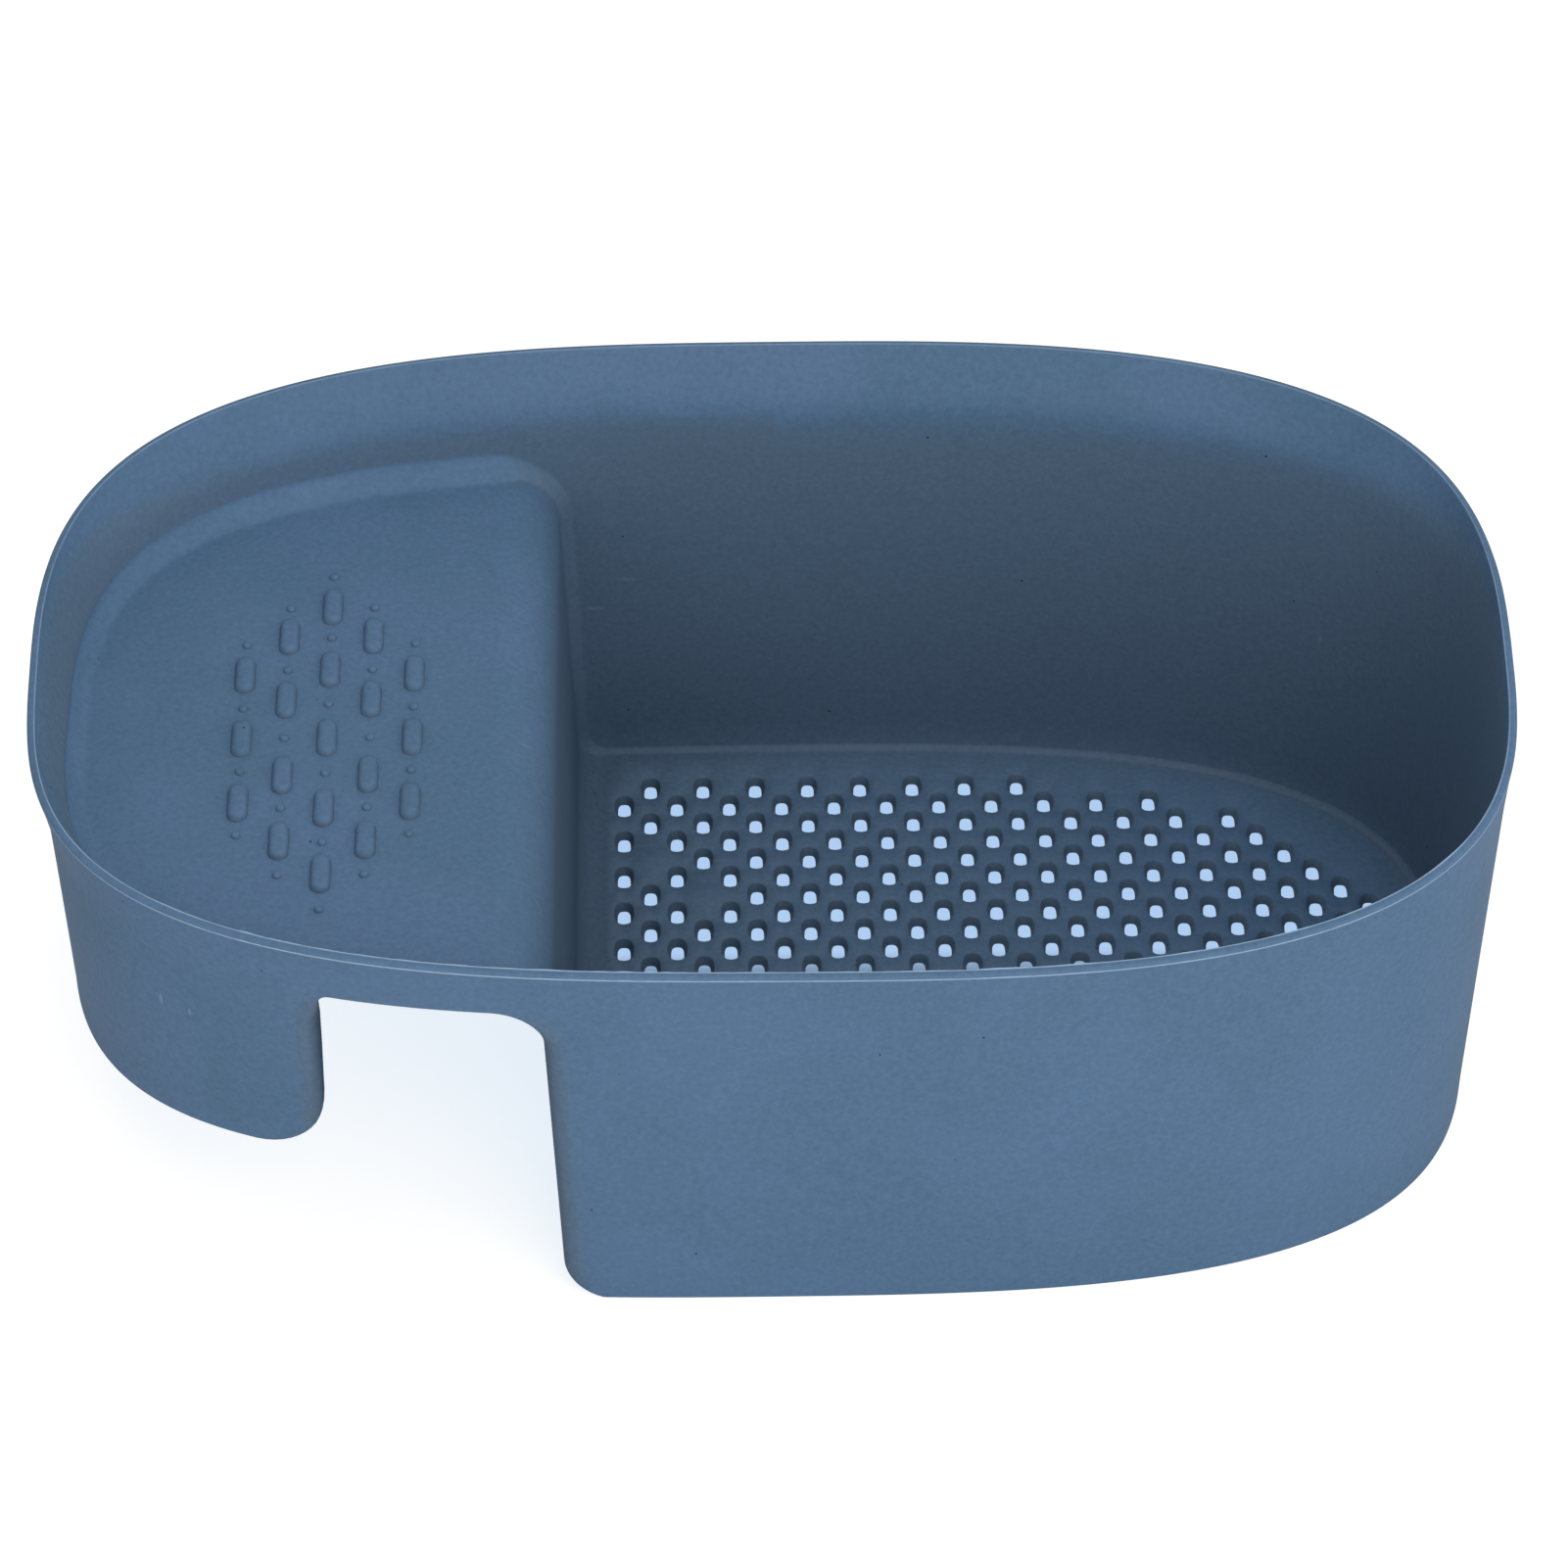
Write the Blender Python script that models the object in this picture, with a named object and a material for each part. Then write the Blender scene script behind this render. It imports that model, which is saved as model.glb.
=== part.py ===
"""Sink drain basket: a deep strainer bowl and a shallow soap tray, moulded in one with a saddle channel
between them. The moulding is modelled as the features it is made of, each a separate closed solid.

Metres, +Z up, +X from the tray to the bowl, +Y towards the high back. The basket stands on its bowl's base.
"""
import math

import bmesh
import bpy

# Clearance between neighbouring pieces
GAP = 0.0003

# Body outline in plan, taken at the end rim: a superellipse
HALF_LENGTH = 0.1305
HALF_DEPTH = 0.0738
SQUARENESS = 2.96

# Rim heights above the base: level ends, a lower front that tilts, and a higher, slightly crowned back
END_HEIGHT = 0.0864
FRONT_DROP = 0.0062
FRONT_TILT = 0.0014
BACK_RISE = 0.0081
BACK_CROWN = 0.0009

# How far the wall draws in per metre of depth
END_DRAFT = 0.055
BACK_DRAFT = 0.0204
FRONT_DRAFT = 0.0127

# Rim band, which leans outward above its fold
BAND = 0.0104
BACK_FLARE = 0.0062
TRAY_FLARE = 0.0019
BOWL_FLARE = 0.0004
RIM_EDGE = 0.0004

# Sheet, base edge, and the fillet and plain border round the bowl's floor
WALL = 0.0016
FLOOR = 0.0020
BASE_EDGE = 0.0006
FLOOR_FILLET = 0.0016
FLOOR_LAND = 0.0004

# Soap tray, its depth taken from the end rim
TRAY_DEPTH = 0.0140
COVE = 0.0038
COVE_LAND = 0.0004

# Saddle channel: the skirt's edge, its width at the top, and the divider that is its right face
SADDLE_LEFT = -0.0792
SADDLE_WIDTH = 0.0382
DIVIDER_DRAFT = 0.0405
ROLL_RADIUS = 0.0106
FOOT_RADIUS = 0.007

# Skirt round the tray end: its depth at the saddle from the seat, its lower edge's slope and corner, and how
# far the channel wall stands back from its edge
SKIRT_DEPTH = 0.0385
SKIRT_SLOPE = 0.065
SKIRT_CORNER = 0.0135
CHANNEL_SETBACK = 0.0053

# Drain slots, on a staggered grid
COLUMN_STEP = 0.005
ROW_STEP = 0.00493
SLOT_WIDTH = 0.0034
SLOT_LENGTH = 0.0057
SLOT_FIRST = 0.0034
SLOT_ROW_OFFSET = 0.0053
SLOT_END_MARGIN = 0.0067
SLOT_SIDE_MARGIN = 0.0067
SLOTS_NOT_OPEN = {(1, 7), (3, 5)}

# Raised bars and dots on the tray
BAR_WIDTH = 0.0036
BAR_LENGTH = 0.0091
BAR_HEIGHT = 0.0009
BAR_COLUMN_STEP = 0.0076
BAR_SETBACK = 0.0300
BAR_MIDDLE_Y = -0.0032
BAR_ROWS = {0: (-0.0353, -0.0184, 0.0, 0.0183, 0.0353), 1: (-0.0268, -0.0098, 0.0102, 0.0273),
            2: (-0.0169, 0.0, 0.0170)}
DOT_ROWS = {0: (-0.0442, -0.0271, -0.0092, 0.0092, 0.0271, 0.0438),
            1: (-0.0354, -0.0182, 0.0002, 0.0184, 0.0352), 2: (-0.0251, -0.0085, 0.0082, 0.0253)}
DOT_DIAMETER = 0.0014
DOT_TOP_DIAMETER = 0.0008
DOT_HEIGHT = 0.0005

# Facets
RING_POINTS = 96
ARC_STEPS = 4
BAR_END_STEPS = 3
DOT_SIDES = 6

# What follows from the sizes above
TRAY_TOP = END_HEIGHT - TRAY_DEPTH
SEAT_Z = TRAY_TOP - WALL
SKIRT_BOTTOM = SEAT_Z - SKIRT_DEPTH
TOE = WALL + FLOOR_FILLET + FLOOR_LAND
ROLL_X = SADDLE_LEFT + SADDLE_WIDTH + WALL - ROLL_RADIUS
ROLL_Z = TRAY_TOP - ROLL_RADIUS
DIVIDER_TOP_X = SADDLE_LEFT + SADDLE_WIDTH
DIVIDER_FOOT_X = DIVIDER_TOP_X + DIVIDER_DRAFT * (ROLL_Z - FOOT_RADIUS)
FLOOR_LEFT = DIVIDER_FOOT_X + FOOT_RADIUS
REACH = 2 * (HALF_LENGTH + HALF_DEPTH + END_HEIGHT)


def signed_power(value, power):
    return math.copysign(abs(value) ** power, value)


def outline(angle, height, inset=0.0, lean=0.0):
    """Plan point of the wall: a superellipse moved along its own normal by draft, lean and inset."""
    cos, sin = math.cos(angle), math.sin(angle)
    power = 2.0 / SQUARENESS
    normal_x = signed_power(cos, 2.0 - power) / HALF_LENGTH
    normal_y = signed_power(sin, 2.0 - power) / HALF_DEPTH
    length = math.hypot(normal_x, normal_y)
    normal_x /= length
    normal_y /= length
    end_share = normal_x * normal_x
    side_share = normal_y * normal_y
    side_draft = BACK_DRAFT if normal_y > 0 else FRONT_DRAFT
    draft = (END_HEIGHT - height) * (END_DRAFT * end_share + side_draft * side_share)
    end_flare = BOWL_FLARE if normal_x > 0 else TRAY_FLARE
    back_flare = BACK_FLARE if normal_y > 0 else 0.0
    flare = lean * (end_flare * end_share + back_flare * side_share)
    shift = flare - draft - inset
    x = HALF_LENGTH * signed_power(cos, power) + shift * normal_x
    y = HALF_DEPTH * signed_power(sin, power) + shift * normal_y
    return x, y


def rim_height(angle):
    """Height of the rim: level ends, a lower front that tilts to the bowl, and a back that sweeps up."""
    along = signed_power(math.cos(angle), 2.0 / SQUARENESS)
    across = signed_power(math.sin(angle), 2.0 / SQUARENESS)
    slope = (BACK_RISE + FRONT_DROP) / 2
    sweep = (BACK_RISE - FRONT_DROP) / 2
    sweep += BACK_CROWN * (1 - along * along) if across > 0 else -FRONT_TILT * along
    return END_HEIGHT + slope * across + sweep * across * across


def ring(height, inset, lean=0.0):
    """One closed ring of wall points; height is a number, or a function of the angle."""
    points = []
    for step in range(RING_POINTS):
        angle = 2 * math.pi * step / RING_POINTS
        z = height(angle) if callable(height) else height
        points.append((*outline(angle, z, inset, lean), z))
    return points


def arc(centre, radius, start, end, steps=ARC_STEPS):
    """Points of a circular arc in a flat outline, angles in degrees."""
    points = []
    for step in range(steps + 1):
        angle = math.radians(start + (end - start) * step / steps)
        points.append((centre[0] + radius * math.cos(angle), centre[1] + radius * math.sin(angle)))
    return points


def plastic(name):
    """Slate-blue polypropylene with a soft sheen."""
    material = bpy.data.materials.new(name)
    material.use_nodes = True
    shader = material.node_tree.nodes["Principled BSDF"]
    shader.inputs["Base Color"].default_value = (0.089, 0.162, 0.283, 1.0)
    shader.inputs["Roughness"].default_value = 0.48
    shader.inputs["Metallic"].default_value = 0.0
    return material


def place(name, mesh, collection, parent):
    """Puts a mesh in the scene as a named object under its parent."""
    item = bpy.data.objects.new(name, mesh)
    collection.objects.link(item)
    item.parent = parent
    return item


def loft(name, rings, capped, collection, parent):
    """Joins rings of equal count into a closed body: capped at both ends, or run back to the first ring."""
    form = bmesh.new()
    loops = []
    for points in rings:
        loops.append([form.verts.new(point) for point in points])
    if capped:
        form.faces.new(loops[0])
        form.faces.new(loops[-1])
    else:
        loops.append(loops[0])
    for lower, upper in zip(loops, loops[1:]):
        for here in range(len(lower)):
            after = (here + 1) % len(lower)
            form.faces.new((lower[here], lower[after], upper[after], upper[here]))
    bmesh.ops.recalc_face_normals(form, faces=form.faces)
    mesh = bpy.data.meshes.new(name)
    form.to_mesh(mesh)
    form.free()
    return place(name, mesh, collection, parent)


def slab(name, loops, thickness, level, upright, collection, parent):
    """A flat outline with its holes, given a thickness: lying at a level, or standing across the depth."""
    curve = bpy.data.curves.new(name, "CURVE")
    curve.dimensions = "2D"
    curve.fill_mode = "BOTH"
    curve.extrude = thickness / 2
    for loop in loops:
        spline = curve.splines.new("POLY")
        spline.points.add(len(loop) - 1)
        spline.use_cyclic_u = True
        for point, (across, up) in zip(spline.points, loop):
            point.co = (across, up, 0.0, 1.0)
    drawn = place(name + "_drawn", curve, collection, parent)
    drawn.location.z = level
    if upright:
        drawn.rotation_euler.x = math.pi / 2
    bpy.context.view_layer.update()
    shaped = drawn.evaluated_get(bpy.context.evaluated_depsgraph_get())
    mesh = bpy.data.meshes.new_from_object(shaped)
    mesh.name = name
    form = bmesh.new()
    form.from_mesh(mesh)
    bmesh.ops.remove_doubles(form, verts=form.verts, dist=0.000005)
    form.to_mesh(mesh)
    form.free()
    item = place(name, mesh, collection, parent)
    item.matrix_world = drawn.matrix_world
    bpy.data.objects.remove(drawn)
    bpy.data.curves.remove(curve)
    return item


def combine(target, operand, operation):
    """Adds a Boolean to the target and keeps the operand as a wire guide."""
    boolean = target.modifiers.new(operand.name, "BOOLEAN")
    boolean.operation = operation
    boolean.solver = "EXACT"
    boolean.object = operand
    operand.display_type = "WIRE"
    operand.hide_render = True


def finish(item):
    """Gives a sub-part its own material and smooth shading with crisp edges."""
    item.data.materials.clear()
    item.data.materials.append(plastic(item.name + "_polypropylene"))
    item.data.shade_smooth()
    item.data.set_sharp_from_angle(angle=math.radians(35))


def rolled_base(radius, foot_inset, foot_level):
    """Rings of a wall's base edge: a quarter round turned inward, from its foot up to the wall."""
    rings = []
    for step in range(ARC_STEPS + 1):
        angle = math.radians(90 * step / ARC_STEPS)
        rings.append(ring(foot_level + radius * (1 - math.cos(angle)), foot_inset - radius * math.sin(angle)))
    return rings


def tub_wall(name, collection, parent):
    """The whole wall under the rim band, all the way round, turned in at its foot with a fillet inside."""
    def top(angle):
        return rim_height(angle) - BAND - GAP

    outer = [ring(0.0, TOE)] + rolled_base(BASE_EDGE, BASE_EDGE, 0.0) + [ring(top, 0.0)]
    inner = [ring(FLOOR, TOE)] + rolled_base(FLOOR_FILLET, WALL + FLOOR_FILLET, FLOOR) + [ring(top, WALL)]
    return loft(name, outer + inner[::-1], False, collection, parent)


def tub_interior(name, collection, parent):
    """The space inside the wall, a clearance away from it, which trims what spans the tub."""
    foot = [ring(-FLOOR, TOE + GAP), ring(FLOOR + GAP, TOE + GAP)]
    fillet = rolled_base(FLOOR_FILLET - GAP, WALL + FLOOR_FILLET, FLOOR + GAP)
    return loft(name, foot + fillet + [ring(END_HEIGHT + BACK_RISE, WALL + GAP)], True, collection, parent)


def upright_cutter(name, points, collection, parent):
    """A flat outline in X and Z run right through the depth of the basket."""
    return slab(name, [points], REACH, 0.0, True, collection, parent)


def saddle_profile():
    """Outline of the saddle channel: square at the skirt, rounded into the divider, open downward."""
    points = [(SADDLE_LEFT, -REACH), (SADDLE_LEFT, SEAT_Z)]
    points += arc((ROLL_X, ROLL_Z), ROLL_RADIUS - WALL, 90, 0)
    points += [(DIVIDER_FOOT_X, FOOT_RADIUS), (DIVIDER_FOOT_X, -REACH)]
    return points


def bowl_side_profile():
    """Outline of everything on the channel side of the bowl, which the bowl's wall is cut back to."""
    points = [(-REACH, -REACH), (FLOOR_LEFT, -REACH)]
    points += arc((FLOOR_LEFT, FOOT_RADIUS), FOOT_RADIUS, 270, 180)
    points += arc((ROLL_X, ROLL_Z), ROLL_RADIUS - WALL, 0, 90)
    points += [(ROLL_X, REACH), (-REACH, REACH)]
    return points


def skirt_corner(start, end):
    """The skirt's rounded lower corner at the saddle, between two angles: it meets the sloping lower edge."""
    slope = math.atan(SKIRT_SLOPE)
    height = SKIRT_BOTTOM + SKIRT_CORNER * (1 / math.cos(slope) - SKIRT_SLOPE)
    return arc((SADDLE_LEFT - SKIRT_CORNER, height), SKIRT_CORNER, start, end)


def skirt_side_profile():
    """Outline of everything below and beyond the skirt, with the skirt's rounded lower corner."""
    far = SADDLE_LEFT - REACH
    points = [(far, -REACH), (far, SKIRT_BOTTOM - REACH * SKIRT_SLOPE)]
    points += skirt_corner(math.degrees(math.atan(SKIRT_SLOPE)) - 90, 0)
    points += [(SADDLE_LEFT, SEAT_Z - WALL), (ROLL_X - GAP, SEAT_Z - WALL)]
    points += [(ROLL_X - GAP, REACH), (REACH, REACH), (REACH, -REACH)]
    return points


def divider_profile():
    """Outline of the divider's sheet: rolled over at the tray, drafted down, rolled under at the floor."""
    bowl_face = arc((ROLL_X, ROLL_Z), ROLL_RADIUS, 90, 0)
    bowl_face += arc((FLOOR_LEFT, FLOOR + FOOT_RADIUS - WALL), FOOT_RADIUS - WALL, 180, 270)
    channel_face = arc((FLOOR_LEFT, FOOT_RADIUS), FOOT_RADIUS, 270, 180)
    channel_face += arc((ROLL_X, ROLL_Z), ROLL_RADIUS - WALL, 0, 90)
    return bowl_face + channel_face


def rim_band(collection, cutters, parent):
    """Closed band under the rim, upright at the front, leaning out at the back, notched over the saddle."""
    def fold(angle):
        return rim_height(angle) - BAND

    def shoulder(angle):
        return rim_height(angle) - RIM_EDGE

    shoulder_lean = 1 - RIM_EDGE / BAND
    rings = [ring(fold, 0.0), ring(shoulder, 0.0, shoulder_lean), ring(rim_height, RIM_EDGE, 1.0),
             ring(rim_height, WALL, 1.0), ring(fold, WALL)]
    band = loft("rim_band", rings, False, collection, parent)
    combine(band, upright_cutter("saddle_cutter", saddle_profile(), cutters, parent), "DIFFERENCE")
    return band


def bowl_wall(collection, cutters, parent):
    """The bowl's wall, open on the channel side where the divider closes it."""
    wall = tub_wall("bowl_wall", collection, parent)
    combine(wall, upright_cutter("bowl_side_cutter", bowl_side_profile(), cutters, parent), "DIFFERENCE")
    return wall


def skirt_wall(collection, cutters, parent):
    """The wall round the tray end: a skirt outside the saddle, and a bridge above its seat at the back."""
    wall = tub_wall("skirt_wall", collection, parent)
    combine(wall, upright_cutter("skirt_side_cutter", skirt_side_profile(), cutters, parent), "DIFFERENCE")
    combine(wall, cutters.objects["saddle_cutter"], "DIFFERENCE")
    return wall


def divider_wall(collection, interior, parent):
    """The straight wall between the bowl and the saddle channel."""
    divider = slab("divider_wall", [divider_profile()], REACH, 0.0, True, collection, parent)
    combine(divider, interior, "INTERSECT")
    return divider


def channel_wall(collection, interior, parent):
    """The skirt's return wall along the saddle channel, set back behind the skirt's own edge."""
    high = SEAT_Z - GAP
    right = SADDLE_LEFT - CHANNEL_SETBACK
    start = -math.degrees(math.acos(1 - (CHANNEL_SETBACK + WALL) / SKIRT_CORNER))
    end = -math.degrees(math.acos(1 - CHANNEL_SETBACK / SKIRT_CORNER))
    face = skirt_corner(start, end) + [(right, high), (right - WALL, high)]
    wall = slab("channel_wall", [face], REACH, 0.0, True, collection, parent)
    combine(wall, interior, "INTERSECT")
    return wall


def clip_left(points, edge):
    """Keeps the part of a closed outline to the right of an upright line."""
    kept = []
    for here, after in zip(points, points[1:] + points[:1]):
        if here[0] >= edge:
            kept.append(here)
        if (here[0] >= edge) != (after[0] >= edge):
            share = (edge - here[0]) / (after[0] - here[0])
            kept.append((edge, here[1] + share * (after[1] - here[1])))
    return kept


def slot_centres():
    """Every second point of a grid that lies within the floor's own outline, less its margins."""
    half_length = HALF_LENGTH - END_HEIGHT * END_DRAFT - TOE - SLOT_END_MARGIN
    half_depth = HALF_DEPTH - END_HEIGHT * BACK_DRAFT - TOE - SLOT_SIDE_MARGIN
    rows = math.ceil((half_depth + SLOT_ROW_OFFSET) / ROW_STEP)
    columns = math.ceil((half_length - FLOOR_LEFT) / COLUMN_STEP)
    centres = []
    for row in range(-rows, rows + 1):
        y = SLOT_ROW_OFFSET + row * ROW_STEP
        for column in range(columns):
            x = FLOOR_LEFT + SLOT_FIRST + column * COLUMN_STEP
            reach = abs(x / half_length) ** SQUARENESS + abs(y / half_depth) ** SQUARENESS
            staggered = (row + column) % 2 == 0
            if staggered and reach <= 1 and (column, row) not in SLOTS_NOT_OPEN:
                centres.append((x, y))
    return centres


def slot_outline(x, y):
    """A slot that runs front to back: straight sides and ends brought to a blunt point."""
    radius = SLOT_WIDTH / 2 / math.cos(math.radians(30))
    straight = SLOT_LENGTH / 2 - radius
    return arc((x, y + straight), radius, 30, 150, 2) + arc((x, y - straight), radius, 210, 330, 2)


def strainer_floor(collection, parent):
    """The bowl's floor, a flat sheet with its drain slots, set inside the wall's turned-in foot."""
    edge = [point[:2] for point in ring(0.0, TOE + GAP)]
    loops = [clip_left(edge, FLOOR_LEFT + GAP)]
    loops += [slot_outline(x, y) for x, y in slot_centres()]
    return slab("strainer_floor", loops, FLOOR, FLOOR / 2, False, collection, parent)


def bar_rings(x, y):
    """A raised bar: its foot sunk in the tray, a straight side and an eased top."""
    ease = BAR_HEIGHT / 2
    rings = []
    for level, inset in ((TRAY_TOP - ease, 0.0), (TRAY_TOP + ease, 0.0), (TRAY_TOP + BAR_HEIGHT, ease)):
        radius = BAR_WIDTH / 2 - inset
        straight = (BAR_LENGTH - BAR_WIDTH) / 2
        flat = arc((x, y + straight), radius, 0, 180, BAR_END_STEPS)
        flat += arc((x, y - straight), radius, 180, 360, BAR_END_STEPS)
        rings.append([(px, py, level) for px, py in flat])
    return rings


def dot_rings(x, y):
    """A raised dot: a low cone with its point cut off."""
    rings = []
    for level, diameter in ((TRAY_TOP - DOT_HEIGHT, DOT_DIAMETER), (TRAY_TOP + DOT_HEIGHT, DOT_TOP_DIAMETER)):
        flat = arc((x, y), diameter / 2, 0, 360 - 360 / DOT_SIDES, DOT_SIDES - 1)
        rings.append([(px, py, level) for px, py in flat])
    return rings


def grip_relief(collection, parent):
    """All the raised bars and dots, as one operand of separate closed solids."""
    pieces = []
    for side in (-2, -1, 0, 1, 2):
        x = ROLL_X - BAR_SETBACK + side * BAR_COLUMN_STEP
        pieces += [bar_rings(x, BAR_MIDDLE_Y + y) for y in BAR_ROWS[abs(side)]]
        pieces += [dot_rings(x, BAR_MIDDLE_Y + y) for y in DOT_ROWS[abs(side)]]
    form = bmesh.new()
    for rings in pieces:
        loops = [[form.verts.new(point) for point in points] for points in rings]
        form.faces.new(loops[0][::-1])
        form.faces.new(loops[-1])
        for lower, upper in zip(loops, loops[1:]):
            for here in range(len(lower)):
                after = (here + 1) % len(lower)
                form.faces.new((lower[here], lower[after], upper[after], upper[here]))
    mesh = bpy.data.meshes.new("grip_relief")
    form.to_mesh(mesh)
    form.free()
    return place("grip_relief", mesh, collection, parent)


def soap_tray(collection, cutters, parent):
    """The tray: a flat sheet whose border sweeps up to the wall in a cove, with raised bars and dots."""
    edge = WALL + GAP
    rings = [ring(SEAT_Z, edge), ring(TRAY_TOP + COVE, edge)]
    for step in range(ARC_STEPS + 1):
        angle = math.radians(90 * step / ARC_STEPS)
        inset = edge + COVE_LAND + COVE * (1 - math.cos(angle))
        rings.append(ring(TRAY_TOP + COVE * (1 - math.sin(angle)), inset))
    tray = loft("soap_tray", rings, True, collection, parent)
    bowl_half = [(ROLL_X - GAP, -REACH), (REACH, -REACH), (REACH, REACH), (ROLL_X - GAP, REACH)]
    combine(tray, upright_cutter("bowl_half_cutter", bowl_half, cutters, parent), "DIFFERENCE")
    combine(tray, grip_relief(cutters, parent), "UNION")
    return tray


def build():
    for item in list(bpy.context.scene.objects):
        bpy.data.objects.remove(item)
    scene = bpy.context.scene.collection
    basket = bpy.data.collections.new("sink_drain_basket")
    cutters = bpy.data.collections.new("cutters")
    scene.children.link(basket)
    scene.children.link(cutters)

    # The rim leans out unequally, so the body stands off the middle of the whole
    tips = []
    for angle in (0, math.pi / 2, math.pi, -math.pi / 2):
        tips.append(outline(angle, rim_height(angle) - RIM_EDGE, 0.0, 1 - RIM_EDGE / BAND))
    body = bpy.data.objects.new("body_centre", None)
    basket.objects.link(body)
    body.location.x = -(tips[0][0] + tips[2][0]) / 2
    body.location.y = -(tips[1][1] + tips[3][1]) / 2
    bpy.context.view_layer.update()

    interior = tub_interior("interior_guide", cutters, body)
    parts = [
        rim_band(basket, cutters, body),
        bowl_wall(basket, cutters, body),
        skirt_wall(basket, cutters, body),
        divider_wall(basket, interior, body),
        channel_wall(basket, interior, body),
        strainer_floor(basket, body),
        soap_tray(basket, cutters, body),
    ]
    for item in parts:
        finish(item)


build()
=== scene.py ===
"""Sink drain basket in slate-blue polypropylene: a strainer bowl and a soap tray moulded in one."""
import math

import bpy
import numpy as np
from mathutils import Matrix, Vector
from mathutils.geometry import delaunay_2d_cdt


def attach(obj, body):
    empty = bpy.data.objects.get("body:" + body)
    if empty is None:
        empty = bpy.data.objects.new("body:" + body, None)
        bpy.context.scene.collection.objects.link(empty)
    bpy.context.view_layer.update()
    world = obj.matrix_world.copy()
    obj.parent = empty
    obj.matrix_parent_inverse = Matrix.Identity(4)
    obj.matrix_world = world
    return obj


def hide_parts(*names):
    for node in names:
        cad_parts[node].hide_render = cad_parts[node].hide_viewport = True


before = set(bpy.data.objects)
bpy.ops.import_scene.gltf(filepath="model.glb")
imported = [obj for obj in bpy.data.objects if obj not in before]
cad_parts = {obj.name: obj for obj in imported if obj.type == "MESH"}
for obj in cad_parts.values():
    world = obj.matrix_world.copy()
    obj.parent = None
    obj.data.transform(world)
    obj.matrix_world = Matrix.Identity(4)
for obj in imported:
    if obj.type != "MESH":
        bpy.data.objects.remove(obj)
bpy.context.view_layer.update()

bl_info = {
    "name": "Sink Drain Basket",
    "version": (1, 0, 0),
    "blender": (4, 5, 0),
    "location": "View3D > Sidebar > Drain Basket",
    "description": "Builds a moulded sink drain basket with its soap tray and strainer floor, and a studio",
    "category": "Add Mesh",
}


# Sizes and colours

def length(name, default, description):
    """A size in metres."""
    return bpy.props.FloatProperty(
        name=name, description=description, default=default, unit="LENGTH", precision=4)


def ratio(name, default, description):
    """A plain number."""
    return bpy.props.FloatProperty(name=name, description=description, default=default, precision=4)


def watts(name, default, description):
    """A lamp's power."""
    return bpy.props.FloatProperty(name=name, description=description, default=default, unit="POWER")


def srgb(code):
    """Linear red, green and blue of an sRGB hex value: a straight foot, then a power of 2.4."""
    parts = [int(code[k:k + 2], 16) / 255 for k in (0, 2, 4)]
    return tuple(v / 12.92 if v <= 0.04045 else ((v + 0.055) / 1.055) ** 2.4 for v in parts)


def colour(name, code, description):
    """A colour, given as an sRGB hex value and kept linear."""
    return bpy.props.FloatVectorProperty(
        name=name, description=description, subtype="COLOR", size=3, min=0, max=1, default=srgb(code))


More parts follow.
